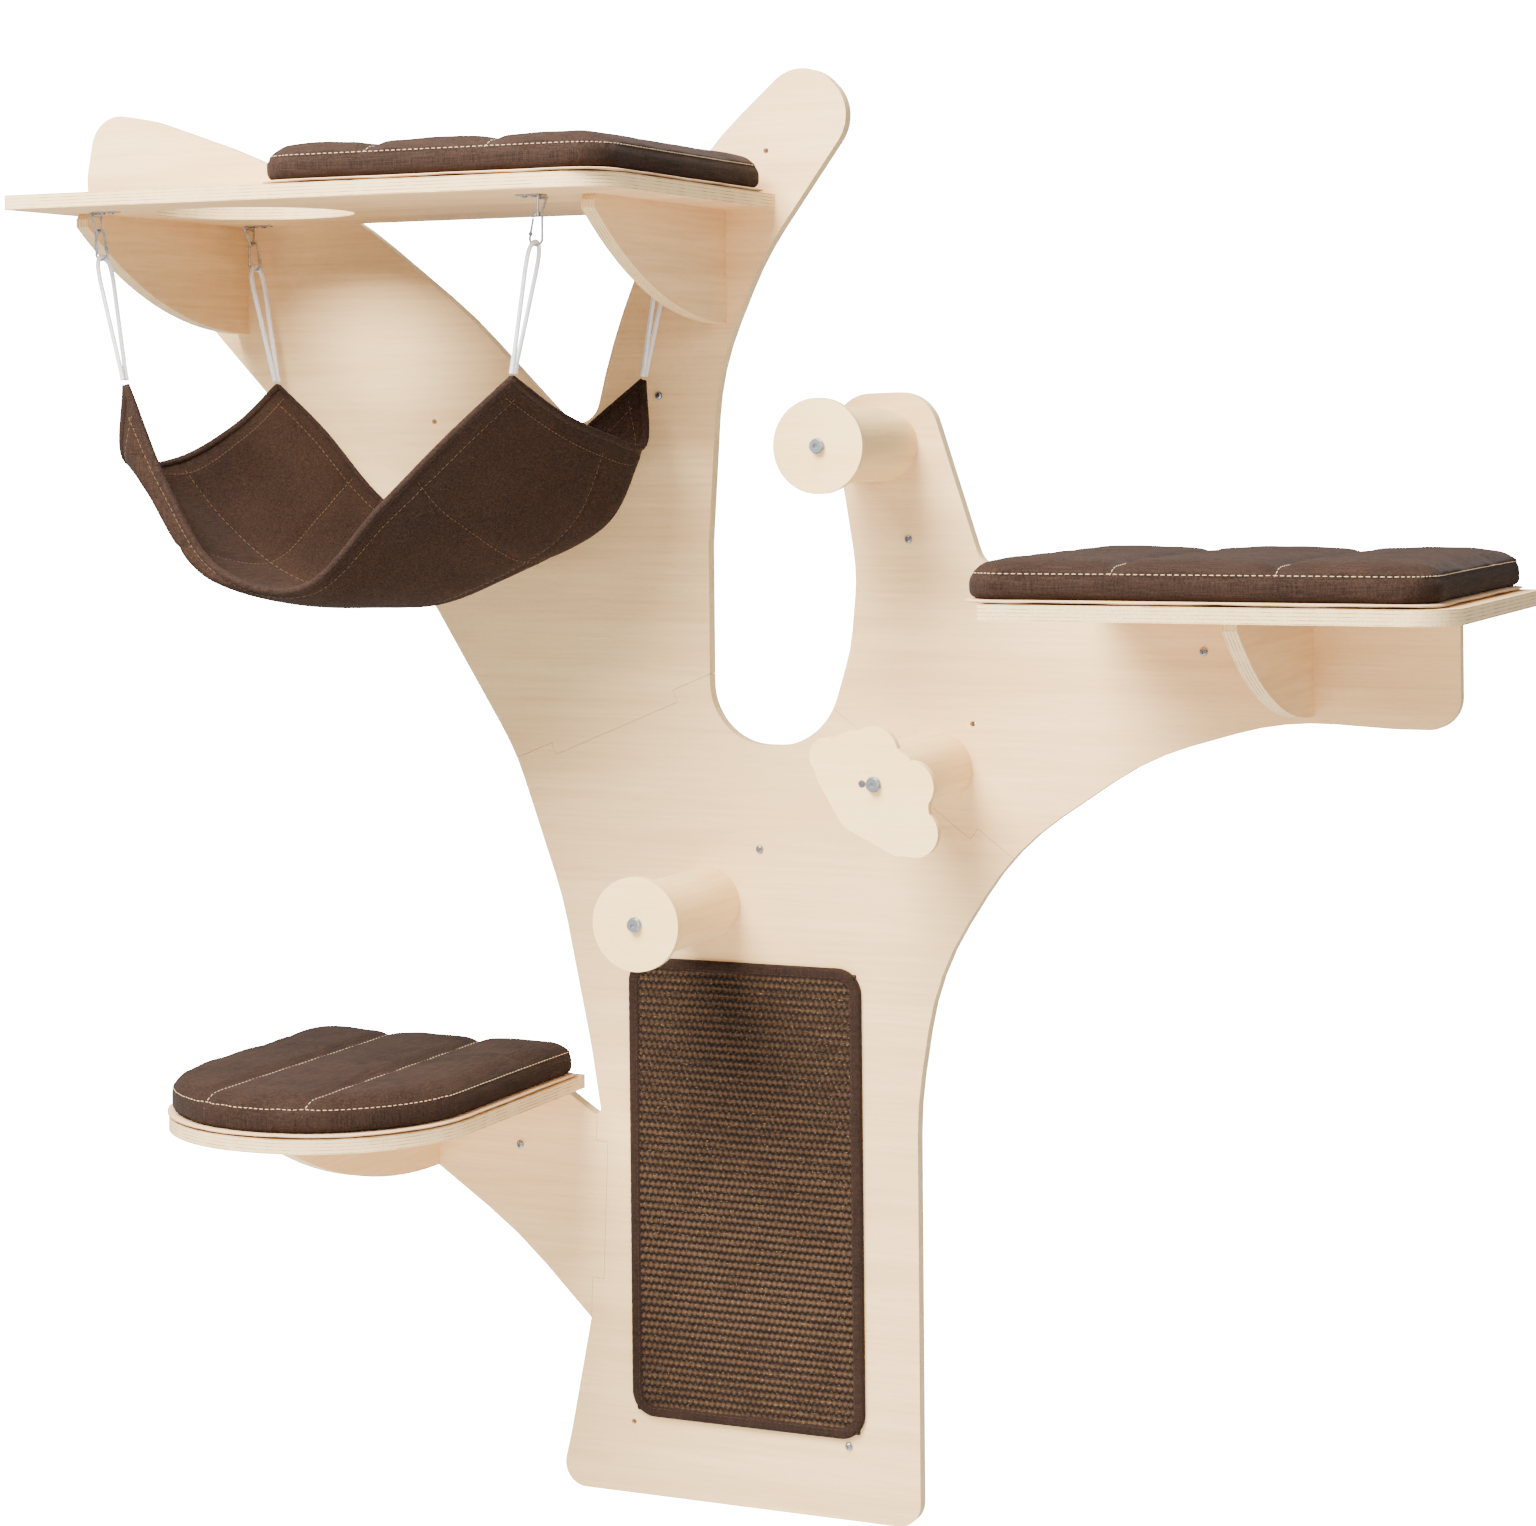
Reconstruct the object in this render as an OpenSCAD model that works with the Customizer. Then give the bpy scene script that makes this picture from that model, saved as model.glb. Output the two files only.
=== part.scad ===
// Wall-hung cat tree: a plywood tree of four panels, three shelves with cushions,
// three peg steps, a hammock on rope slings and a sisal scratching mat.
// X runs along the wall, Z up, Y into the wall. The wall is the plane y = 0.

/* [Tree panels] */
// Width of the tree, tip of the left limb to end of the right arm
tree_w = 1608; // [1400:1:1930]
// Height of the tree, foot to top of the right limb
tree_h = 1547; // [1350:1:1860]
// Thickness of the tree panels
panel_t = 15; // [12:1:18]
// Saw gap between two panels
saw_gap = 0.4; // [0.2:0.1:1]
// How far a panel's tab reaches into the trunk
tab_d = 14; // [8:1:20]

/* [Shelves] */
// Thickness of the shelf boards
board_t = 15; // [12:1:18]
// Length of the top shelf
top_shelf_l = 700; // [660:1:760]
// Depth of the top shelf
top_shelf_d = 415; // [345:1:500]
// Width across the cat hole in the top shelf
cat_hole_d = 215; // [180:1:258]
// Length of the right shelf
right_shelf_l = 445; // [370:1:535]
// Depth of the right shelf
right_shelf_d = 395; // [330:1:475]
// Length of the left shelf
left_shelf_l = 335; // [280:1:400]
// Depth of the left shelf
left_shelf_d = 425; // [355:1:510]

/* [Brackets] */
// Thickness of the brackets
bracket_t = 15; // [12:1:18]
// Length of the top shelf's brackets out from the tree
top_bracket_l = 315; // [265:1:335]
// Length of the right shelf's bracket out from the tree
right_bracket_l = 275; // [230:1:330]
// Length of the left shelf's bracket out from the tree
left_bracket_l = 335; // [280:1:340]
// Height of the brackets of the top shelf
top_bracket_h = 122; // [100:1:146]
// Height of the bracket of the right shelf
right_bracket_h = 115; // [96:1:138]
// Height of the bracket of the left shelf
left_bracket_h = 98; // [82:1:110]

/* [Pegs] */
// Diameter of the peg rods
peg_d = 78; // [60:1:94]
// Length of the peg rods
peg_l = 169; // [140:1:203]
// Diameter of the round caps
cap_d = 98; // [85:1:118]
// Thickness of the caps
cap_t = 9; // [6:1:12]
// Diameter of the bolt that holds a peg
bolt_d = 8; // [6:1:10]

/* [Cushions] */
// Thickness of a cushion's cover
cover_t = 37; // [30:1:45]
// Thickness of the pale pad under a cover
pad_t = 4; // [3:1:8]
// How far a cushion reaches past its board
overhang = 6; // [0:1:12]

/* [Scratching mat] */
// Width of the mat
mat_w = 273; // [230:1:327]
// Height of the mat
mat_h = 500; // [420:1:560]
// Thickness of the sisal
mat_t = 5; // [4:0.5:8]
// Width of the bound edge
binding_w = 13; // [8:1:18]

/* [Hammock] */
// Distance between the left and the right hangers
hanger_span = 532; // [445:1:560]
// Distance between the front and the rear hangers
hanger_depth = 300; // [250:1:340]
// Thickness of the hammock's cloth
cloth_t = 5; // [4:0.5:8]
// How far the middle of the front hem hangs below the corners
hem_drop = 211; // [175:1:250]
// Diameter of the rope
rope_d = 5; // [4:0.5:6]
// Lean of the ropes towards the middle, in degrees
rope_lean = 11.5; // [6:0.5:16]

/* [Fastenings] */
// Diameter of the holes for the wall screws
wall_hole_d = 6; // [5:0.5:8]
// Diameter of the wall screws
wall_screw_d = 4.5; // [4:0.5:4.5]
// Length of the wall screws under the head
wall_screw_l = 50; // [40:5:70]
// Diameter of the wood screws
screw_d = 4; // [3:0.5:5]
// Length of the wood screws
screw_l = 45; // [35:5:50]
// Gap round a wood screw, a bolt or a nut
screw_gap = 0.1; // [0.05:0.05:0.3]

/* [Hidden] */

round_fn = 96;
small_fn = 48;
arc_step = 6;
past = 1;

ply_colour = [0.90, 0.82, 0.71];
peg_colour = [0.93, 0.89, 0.80];
steel_colour = [0.72, 0.74, 0.77];
cover_colour = [0.36, 0.26, 0.21];
pad_colour = [0.78, 0.70, 0.61];
sisal_colour = [0.35, 0.22, 0.15];
rope_colour = [0.93, 0.92, 0.90];
hammock_colour = [0.29, 0.21, 0.17];

// ---- The tree's outline: corners [x, z, radius] on the tree's own grid ----

grid_w = 1608;
grid_h = 1547;

// A place on the tree's grid, stretched with the tree
function on_tree(p) = [p[0] * tree_w / grid_w, p[1] * tree_h / grid_h];

left_limb = [
    [-400, 670, 500], [-702, 985, 300], [-842, 1098, 60], [-822, 1204, 60],
    [-745, 1190, 150], [-600, 1140, 400], [-455, 1053, 500], [-328, 954, 600]
];
right_limb = [
    [-180, 806, 28], [-155, 905, 400], [-118, 1008, 500], [-30, 1132, 400],
    [79, 1227, 47], [143, 1163, 47], [30, 1010, 350], [-24, 890, 300], [-37, 700, 0]
];
second_limb = [
    [-37, 485, 75], [95, 485, 75], [128, 590, 200], [136, 670, 200],
    [122, 758, 300], [100, 860, 50], [217, 863, 45], [278, 676, 30]
];
right_arm = [
    [778, 676, 20], [778, 520, 50], [713, 520, 150], [600, 526, 300],
    [455, 483, 300], [310, 385, 300], [222, 250, 300], [199, 110, 400]
];
foot = [[198, -337, 26], [-228, -337, 36], [-213, -275, 200], [-188, -150, 0]];
left_arm = [
    [-276, -64, 500], [-378, 4, 100], [-500, 70, 60], [-505, 135, 25], [-275, 135, 40], [-172, 68, 6],
    [-185, 150, 300], [-218, 310, 400], [-275, 470, 300]
];
tree_corners = concat(left_limb, right_limb, second_limb, right_arm, foot, left_arm);

function unit(v) = v / norm(v);

// Signed turn from angle a to angle b, between -180 and 180
function turn(a, b) = let (d = b - a) d > 180 ? d - 360 : d < -180 ? d + 360 : d;

// The arc that rounds corner b between its neighbours a and c
function corner_arc(a, b, c, r) =
    let (
        u = unit(a - b),
        v = unit(c - b),
        half = acos(max(-1, min(1, u * v))) / 2,
        cut = min(r / tan(half), norm(a - b) / 2, norm(c - b) / 2),
        fit_r = cut * tan(half),
        centre = b + unit(u + v) * fit_r / sin(half),
        p = b + u * cut - centre,
        q = b + v * cut - centre,
        a0 = atan2(p[1], p[0]),
        swing = turn(a0, atan2(q[1], q[0])),
        n = max(1, ceil(abs(swing) / arc_step))
    )
    [for (i = [0:n]) centre + fit_r * [cos(a0 + swing * i / n), sin(a0 + swing * i / n)]];

// A closed outline with each corner [x, y, radius] rounded
function rounded(corners) =
    let (n = len(corners))
    [for (i = [0:n - 1])
        let (
            a = corners[(i + n - 1) % n],
            b = corners[i],
            c = corners[(i + 1) % n]
        )
        each b[2] == 0
            ? [[b[0], b[1]]]
            : corner_arc([a[0], a[1]], [b[0], b[1]], [c[0], c[1]], b[2])];

tree_outline = rounded([
    for (c = tree_corners) let (p = on_tree(c)) [p[0], p[1], c[2]]
]);

// ---- Seams: [start, angle, length, tab from, tab length] on the tree's grid ----

upper_seam = [[-300, 452], 22.4, 330, 76, 160];
right_seam = [[60, 562], -36.9, 340, 112, 150];
left_seam = [[-188, -150], 87.6, 229, 45, 150];

// Points along a seam with its tab, moved into the trunk by a gap
function seam_points(seam, gap) =
    let (
        start = on_tree(seam[0]),
        along = [cos(seam[1]), sin(seam[1])],
        off = [-sin(seam[1]), cos(seam[1])],
        tab_a = seam[3] - gap,
        tab_b = seam[3] + seam[4] + gap,
        low = -tab_d - gap
    )
    [for (q = [[0, -gap], [tab_a, -gap], [tab_a, low], [tab_b, low], [tab_b, -gap], [seam[2], -gap]])
        start + along * q[0] + off * q[1]];

upper_beyond = [[45, 640], [45, 900], [300, 900], [300, 1400], [-1000, 1400], [-1000, 452]];
right_beyond = [[900, 340], [900, 880], [60, 880]];
left_beyond = [[-200, 82], [-205, 180], [-700, 180], [-700, -150]];

function region(seam, beyond, gap) =
    concat(seam_points(seam, gap), [for (p = beyond) on_tree(p)]);

// ---- Places on the tree ----

screwed_places = [[-95, 862], [195, 707], [516, 594], [20, 373], [-274, 34], [117, -258]];
open_places = [[35, 1123], [-374, 836], [265, 514], [-137, -259]];
peg_places = [[167, 807], [225, 467], [-43, 313]];
front_y = -panel_t;

// ---- Shelves: left ends and undersides; the top and left ones keep their right ends on the tree ----

top_shelf_x = on_tree([45, 0])[0] - top_shelf_l;
top_shelf_z = on_tree([0, 1061])[1];
right_shelf_x = on_tree([415, 0])[0];
right_shelf_z = on_tree([0, 646])[1];
left_shelf_x = on_tree([-193, 0])[0] - left_shelf_l;
left_shelf_z = on_tree([0, 102])[1];

// Rounded corner radii: front left, front right
top_shelf_r = [10, 55];
right_shelf_r = [6, 45];
left_shelf_r = [left_shelf_l * 0.49, left_shelf_l * 0.49];

top_bracket_in = 24;
top_bracket_right_in = 73;
top_bracket_left_x = top_shelf_x + top_bracket_in;
top_bracket_right_x = top_shelf_x + top_shelf_l - top_bracket_right_in;
right_bracket_x = right_shelf_x + 200;
left_bracket_x = left_shelf_x + 137;

// Outline of a shelf board seen from above, from its left end at x
function board_outline(x, l, d, radii, grow = 0) = rounded([
    [x - grow, front_y, 0],
    [x - grow, front_y - d - grow, radii[0] + grow],
    [x + l + grow, front_y - d - grow, radii[1] + grow],
    [x + l + grow, front_y, 0]
]);

hole_x = top_shelf_x + 186;
hole_y = front_y - 220;

// ---- Screw places ----

// Each wood screw into a board's rear edge: [x, z]
edge_inset = 55;
function edge_row(x, l, z) = [
    for (s = [edge_inset, l * 0.45, l - edge_inset]) [x + s, z + board_t / 2]
];
top_edge_screws = [[top_shelf_x + 95, top_shelf_z + board_t / 2],
                   [top_shelf_x + 150, top_shelf_z + board_t / 2],
                   [top_shelf_x + top_shelf_l - 30, top_shelf_z + board_t / 2]];
right_edge_screws = edge_row(right_shelf_x, right_shelf_l - 110, right_shelf_z);
left_edge_screws = edge_row(left_shelf_x + 30, left_shelf_l - 50, left_shelf_z);
edge_screws = concat(top_edge_screws, right_edge_screws, left_edge_screws);

// [left face, underside of the board, bracket height, bracket length]
brackets = [
    [top_bracket_left_x, top_shelf_z, top_bracket_h, top_bracket_l],
    [top_bracket_right_x, top_shelf_z, top_bracket_h, top_bracket_l],
    [right_bracket_x, right_shelf_z, right_bracket_h, right_bracket_l],
    [left_bracket_x, left_shelf_z, left_bracket_h, left_bracket_l]
];
bracket_back_screws = [
    for (b = brackets)
        for (down = [0.28, 0.72]) [b[0] + bracket_t / 2, b[1] - b[2] * down]
];
top_screw_out = [0.2, 0.6];
// Board top and place of each screw down into a bracket: [x, y, z]
down_screws = [
    for (b = brackets)
        for (s = top_screw_out)
            [b[0] + bracket_t / 2, front_y - b[3] * s, b[1] + board_t]
];

// ---- Small shapes ----

// A panel cut from a sheet that stands in front of y = back
module sheet_xz(outline, thick, back = 0)
    translate([0, back, 0]) rotate([90, 0, 0]) linear_extrude(height = thick) polygon(outline);

// A plate that stands across X, its outline in y and z
module sheet_yz(outline, thick)
    rotate([90, 0, 90]) linear_extrude(height = thick) polygon(outline);

// A rod along Y from y0 to y1 at [x, z]
module rod_y(place, d, y0, y1, fn = small_fn)
    translate([place[0], max(y0, y1), place[1]]) rotate([90, 0, 0])
        cylinder(d = d, h = abs(y1 - y0), $fn = fn);

// A straight round wire between two points
module wire_between(a, b, r) {
    run = b - a;
    reach = norm(run);
    translate(a)
        rotate([0, acos(run[2] / reach), atan2(run[1], run[0])])
            cylinder(r = r, h = reach, $fn = small_fn);
}

// Half profile of a countersunk wood screw, head at 0, point at its length
screw_head_d = 1.9 * screw_d;
screw_head_h = 0.55 * screw_d;
screw_rim = 0.4;
screw_point = 6;
function screw_profile(gap) = [
    [0, 0], [screw_head_d / 2 + gap, 0], [screw_head_d / 2 + gap, screw_rim],
    [screw_d / 2 + gap, screw_rim + screw_head_h],
    [screw_d / 2 + gap, screw_l - screw_point], [0, screw_l + gap]
];

// A wood screw whose head lies at the origin and whose point is up
module wood_screw(gap = 0) rotate_extrude($fn = small_fn) polygon(screw_profile(gap));

// Wood screws from the wall face into what stands on the panel's front
module screws_from_back(places, gap = 0)
    for (p = places) translate([p[0], 0, p[1]]) rotate([90, 0, 0]) wood_screw(gap);

// Wood screws down through the boards into the brackets
module screws_down(places, gap = 0)
    for (p = places) translate(p) rotate([180, 0, 0]) wood_screw(gap);

// ---- Panels ----

nut_flange_d = 20;
nut_flange_t = 1.5;
nut_barrel_d = bolt_d + 2.5;
nut_barrel_l = 9;

module panel_holes() {
    for (p = concat(screwed_places, open_places))
        rod_y(on_tree(p), wall_hole_d, past, -panel_t - past);
    for (p = peg_places) {
        rod_y(on_tree(p), bolt_d + 2 * screw_gap, past, -panel_t - past);
        rod_y(on_tree(p), nut_barrel_d + 2 * screw_gap, past, -nut_barrel_l - screw_gap);
        rod_y(on_tree(p), nut_flange_d + 2 * screw_gap, past, -nut_flange_t - screw_gap);
    }
    screws_from_back(concat(edge_screws, bracket_back_screws), screw_gap);
}

module tree_piece(seam, beyond)
    color(ply_colour) difference() {
        intersection() {
            sheet_xz(tree_outline, panel_t);
            sheet_xz(region(seam, beyond, 0), panel_t + 2 * past, past);
        }
        panel_holes();
    }

module trunk_panel()
    color(ply_colour) difference() {
        sheet_xz(tree_outline, panel_t);
        sheet_xz(region(upper_seam, upper_beyond, saw_gap), panel_t + 2 * past, past);
        sheet_xz(region(right_seam, right_beyond, saw_gap), panel_t + 2 * past, past);
        sheet_xz(region(left_seam, left_beyond, saw_gap), panel_t + 2 * past, past);
        panel_holes();
    }

// ---- Shelves and brackets ----

module board(x, z, l, d, radii)
    translate([0, 0, z]) linear_extrude(height = board_t)
        polygon(board_outline(x, l, d, radii));

module shelf(x, z, l, d, radii)
    color(ply_colour) difference() {
        board(x, z, l, d, radii);
        screws_from_back(edge_screws, screw_gap);
        screws_down(down_screws, screw_gap);
        hanger_screw_set(screw_gap);
    }

module top_shelf()
    difference() {
        shelf(top_shelf_x, top_shelf_z, top_shelf_l, top_shelf_d, top_shelf_r);
        translate([hole_x, hole_y, top_shelf_z - past])
            cylinder(d = cat_hole_d, h = board_t + 2 * past, $fn = round_fn);
    }

bracket_tip_h = 14;
bracket_steps = 14;

// Outline of a bracket in y and z: flat on top, an arc below that meets the tree level
function bracket_outline(z, h, l) =
    let (
        fall = h - bracket_tip_h,
        r = (l * l + fall * fall) / (2 * fall),
        sweep = asin(l / r)
    )
    concat(
        [[front_y, z], [front_y - l + 5, z], [front_y - l, z - 6]],
        [for (i = [bracket_steps:-1:0]) let (a = sweep * i / bracket_steps)
            [front_y - r * sin(a), z - h + r * (1 - cos(a))]]
    );

module bracket(b)
    color(ply_colour) difference() {
        translate([b[0], 0, 0]) sheet_yz(bracket_outline(b[1], b[2], b[3]), bracket_t);
        screws_from_back(bracket_back_screws, screw_gap);
        screws_down(down_screws, screw_gap);
    }

// ---- Pegs ----

peg_front = front_y - peg_l;
cap_front = peg_front - cap_t;
washer_d = 2 * bolt_d;
washer_t = 1.6;
bolt_head_d = 1.65 * bolt_d;
bolt_head_h = 0.6 * bolt_d;
bolt_key_d = 0.7 * bolt_d;
cloud_screw_off = 13;

module bolt_bore(place) rod_y(place, bolt_d + 2 * screw_gap, past, cap_front - past);

module cloud_screw_shape(gap = 0)
    translate([on_tree(peg_places[1])[0] - cloud_screw_off, cap_front, on_tree(peg_places[1])[1]])
        rotate([-90, 0, 0]) wood_screw(gap);

module peg(i)
    color(peg_colour) difference() {
        rod_y(on_tree(peg_places[i]), peg_d, front_y, peg_front, round_fn);
        bolt_bore(on_tree(peg_places[i]));
        cloud_screw_shape(screw_gap);
    }

module round_cap(i)
    color(peg_colour) difference() {
        rod_y(on_tree(peg_places[i]), cap_d, peg_front, cap_front, round_fn);
        bolt_bore(on_tree(peg_places[i]));
    }

// Lobes of the cloud about its bolt: [x, z, radius]
cloud_lobes = [[-1, 31, 27], [38, -1, 26], [43, -47, 25], [-50, 26, 20]];
// Corners [x, z, radius] of the body that the lobes stand out from
cloud_core = [
    [-50, 44, 8], [-27, 53, 12], [-1, 56, 12], [37, 28, 4], [60, 0, 12], [58, -22, 4], [62, -47, 12],
    [43, -71, 12], [22, -71, 12], [-13, -54, 60], [-34, -44, 25], [-62, 3, 30], [-69, 26, 10]
];

module cap_cloud()
    color(peg_colour) difference() {
        translate([on_tree(peg_places[1])[0], peg_front, on_tree(peg_places[1])[1]]) {
            for (lobe = cloud_lobes)
                translate([lobe[0], 0, lobe[1]]) rotate([90, 0, 0])
                    cylinder(r = lobe[2], h = cap_t, $fn = round_fn);
            sheet_xz(rounded(cloud_core), cap_t);
        }
        bolt_bore(on_tree(peg_places[1]));
        cloud_screw_shape(screw_gap);
    }

module peg_bolts()
    color(steel_colour) for (p = peg_places) difference() {
        union() {
            rod_y(on_tree(p), bolt_d, -past, cap_front - washer_t);
            rod_y(on_tree(p), bolt_head_d, cap_front - washer_t, cap_front - washer_t - bolt_head_h);
        }
        translate([on_tree(p)[0], cap_front - washer_t - bolt_head_h / 2, on_tree(p)[1]])
            rotate([90, 0, 0]) cylinder(d = bolt_key_d, h = bolt_head_h, $fn = 6);
    }

module peg_washers()
    color(steel_colour) for (p = peg_places) difference() {
        rod_y(on_tree(p), washer_d, cap_front, cap_front - washer_t);
        rod_y(on_tree(p), bolt_d + 2 * screw_gap, cap_front + past, cap_front - washer_t - past);
    }

module tee_nuts()
    color(steel_colour) for (p = peg_places) difference() {
        union() {
            rod_y(on_tree(p), nut_flange_d, 0, -nut_flange_t);
            rod_y(on_tree(p), nut_barrel_d, 0, -nut_barrel_l);
        }
        rod_y(on_tree(p), bolt_d + 2 * screw_gap, past, -panel_t);
    }

// ---- Wall screws ----

wall_head_d = 8.6;
wall_head_h = 3;
wall_point = 9;
cross_w = 1.2;
cross_l = 4.6;
cross_deep = 1.6;

module wall_screw() difference() {
    rotate_extrude($fn = small_fn) polygon([
        [0, -wall_head_h], [wall_head_d * 0.28, -wall_head_h], [wall_head_d * 0.45, -wall_head_h * 0.6],
        [wall_head_d / 2, 0], [wall_screw_d / 2, 0],
        [wall_screw_d / 2, wall_screw_l - wall_point], [0, wall_screw_l]
    ]);
    for (a = [0, 90])
        rotate([0, 0, a + 20]) translate([-cross_l / 2, -cross_w / 2, -wall_head_h - past])
            cube([cross_l, cross_w, cross_deep + past]);
}

module wall_screws()
    color(steel_colour) for (p = screwed_places)
        translate([on_tree(p)[0], front_y, on_tree(p)[1]]) rotate([-90, 0, 0]) wall_screw();

// ---- Scratching mat ----

mat_r = 27;
mat_under = 6;
binding_t = mat_t + 1.5;

function mat_outline(grow) = rounded([
    for (s = [[-1, -1], [1, -1], [1, 1], [-1, 1]])
        [s[0] * (mat_w / 2 + grow), s[1] * (mat_h / 2 + grow), mat_r + grow]
]);

module scratch_mat()
    color(sisal_colour) sheet_xz(mat_outline(-mat_under), mat_t, front_y);

module mat_binding()
    color(cover_colour) difference() {
        sheet_xz(mat_outline(0), binding_t, front_y);
        sheet_xz(mat_outline(-binding_w), binding_t + 2 * past, front_y + past);
        sheet_xz(mat_outline(-mat_under), mat_t + past, front_y + past);
    }

// ---- Cushions ----

cushion_gap = 0.3;
cushion_back = 7;
top_cushion_x = top_shelf_x + 300;
right_cushion_past = 26;
right_cushion_short = 9;

// A cushion layer on a board, from z upwards
module cushion_layer(x, l, d, radii, z, t, inset) {
    shift = cushion_back + inset;
    translate([0, -shift, z]) linear_extrude(height = t)
        polygon(board_outline(x, l, d - shift, radii, overhang - inset));
}

pad_inset = 5;
module cushion_cover(x, z, l, d, radii)
    color(cover_colour)
        cushion_layer(x, l, d, radii, z + board_t + cushion_gap + pad_t, cover_t, 0);

module cushion_pad(x, z, l, d, radii)
    color(pad_colour)
        cushion_layer(x, l, d, radii, z + board_t + cushion_gap, pad_t, pad_inset);

top_cushion_l = top_shelf_x + top_shelf_l - top_cushion_x;
top_cushion_r = [30, 50];
right_cushion_r = [18, 40];
right_cushion_x = right_shelf_x - right_cushion_past + overhang;
right_cushion_l = right_shelf_l + right_cushion_past - right_cushion_short - 2 * overhang;

// ---- Hangers under the top shelf ----

hanger_x = top_shelf_x + 60;
hanger_y = front_y - 31;
plate_t = 1.5;
plate_l = 27;
plate_w = 14;
barrel_d = 5.6;
barrel_w = 12;
ring_wire_r = 1.1;
barrel_gap = 0.1;
barrel_z = top_shelf_z - barrel_d / 2;
hanger_screw_d = 3;
hanger_screw_l = 13;
hanger_head_d = 6;
hanger_head_h = 1.6;
plate_hole_at = [9, 20];

// 1 at the right end of the hammock, 0 at the left; 1 at the rear, 0 at the front
function hanger_place(right, rear) =
    [hanger_x + right * hanger_span, hanger_y - (1 - rear) * hanger_depth, barrel_z];

// Moves to a hanger and turns X towards the hammock's middle
module at_hanger(right, rear) translate(hanger_place(right, rear)) mirror([right, 0, 0]) children();

module hanger(right, rear)
    color(steel_colour) at_hanger(right, rear) difference() {
        union() {
            translate([0, -plate_w / 2, barrel_d / 2 - plate_t]) cube([plate_l, plate_w, plate_t]);
            rotate([90, 0, 0]) translate([0, 0, -barrel_w / 2])
                cylinder(d = barrel_d, h = barrel_w, $fn = small_fn);
        }
        rotate([90, 0, 0]) translate([0, 0, -plate_w])
            cylinder(r = ring_wire_r + barrel_gap, h = 2 * plate_w, $fn = small_fn);
        for (s = plate_hole_at)
            translate([s, 0, 0])
                cylinder(d = hanger_screw_d + 2 * screw_gap, h = barrel_d, $fn = small_fn);
    }

module hanger_screw(gap)
    rotate_extrude($fn = small_fn) polygon([
        [0, -hanger_head_h], [hanger_head_d * 0.35, -hanger_head_h], [hanger_head_d / 2, -hanger_head_h / 3],
        [hanger_head_d / 2, 0], [hanger_screw_d / 2 + gap, 0],
        [hanger_screw_d / 2 + gap, hanger_screw_l - 4], [0, hanger_screw_l + gap]
    ]);

module hanger_screw_set(gap = 0)
    for (right = [0, 1])
        for (rear = [0, 1])
            for (s = plate_hole_at)
                at_hanger(right, rear) translate([s, 0, barrel_d / 2 - plate_t])
                    hanger_screw(gap);

// ---- Slings: ring, snap hook, gate and rope hang from a barrel along local -Z ----

// Moves to a hanger and leans -Z towards the hammock's middle
module at_sling(right, rear) at_hanger(right, rear) rotate([0, -rope_lean, 0]) children();

ring_half = 10;
ring_foot = 3;
ring_drop = 19;
knuckle = 1.1;

module ring(right, rear)
    color(steel_colour) at_sling(right, rear) {
        corners = [[0, -ring_half, 0], [0, ring_half, 0], [0, ring_foot, -ring_drop], [0, -ring_foot, -ring_drop]];
        for (i = [0:3]) {
            wire_between(corners[i], corners[(i + 1) % 4], ring_wire_r);
            translate(corners[i]) sphere(r = ring_wire_r * knuckle, $fn = small_fn);
        }
    }

hook_wire_r = 1.3;
hook_top_r = 5;
hook_low_r = 7;
hook_top_z = -21.3;
hook_low_z = -42;
hook_shift = 1;
gate_x = hook_top_r + hook_shift;
pivot_z = hook_low_z + 3.2;
pivot_r = 0.75;
pivot_gap = 0.05;
tab_r = 1.9;
tab_t = 1.1;
cheek_in = 0.65;
cheek_t = 0.6;
rivet_head_r = 1.3;
rivet_head_t = 0.4;
nose_l = 1;
nose_gap = 0.4;
gate_wire_r = 1.2;
gate_from = pivot_z + tab_r + 0.5;
gate_to = hook_top_z - nose_l - nose_gap;

// Half ring of wire over the top (up = 1) or under the bottom (up = -1)
module wire_arc(x, z, r, up) {
    block = 3 * r;
    translate([x, 0, z]) difference() {
        rotate([90, 0, 0]) rotate_extrude($fn = small_fn)
            translate([r, 0]) circle(r = hook_wire_r, $fn = small_fn);
        translate([-block / 2, -block / 2, up > 0 ? -block : 0]) cube(block);
    }
}

// A short rod along Y centred on the hook's plane
module cross_rod(x, z, r, half)
    translate([x, half, z]) rotate([90, 0, 0]) cylinder(r = r, h = 2 * half, $fn = small_fn);

module snap(right, rear)
    color(steel_colour) at_sling(right, rear) {
        wire_arc(hook_shift, hook_top_z, hook_top_r, 1);
        wire_arc(-hook_shift, hook_low_z, hook_low_r, -1);
        spine_top = [hook_shift - hook_top_r, 0, hook_top_z];
        spine_low = [-hook_shift - hook_low_r, 0, hook_low_z];
        wire_between(spine_low, spine_top, hook_wire_r);
        for (p = [spine_top, spine_low]) translate(p) sphere(r = hook_wire_r * knuckle, $fn = small_fn);
        translate([gate_x, 0, hook_top_z - nose_l]) cylinder(r = hook_wire_r, h = nose_l, $fn = small_fn);
        translate([gate_x - 1, -tab_t / 2, hook_low_z - 0.5]) cube([2, tab_t, pivot_z - hook_low_z]);
        cross_rod(gate_x, pivot_z, tab_r, tab_t / 2);
        rivet_out = cheek_in + cheek_t + pivot_gap;
        cross_rod(gate_x, pivot_z, pivot_r, rivet_out + rivet_head_t);
        for (s = [-1, 1])
            translate([0, s * (rivet_out + rivet_head_t / 2), 0])
                cross_rod(gate_x, pivot_z, rivet_head_r, rivet_head_t / 2);
    }

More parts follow.
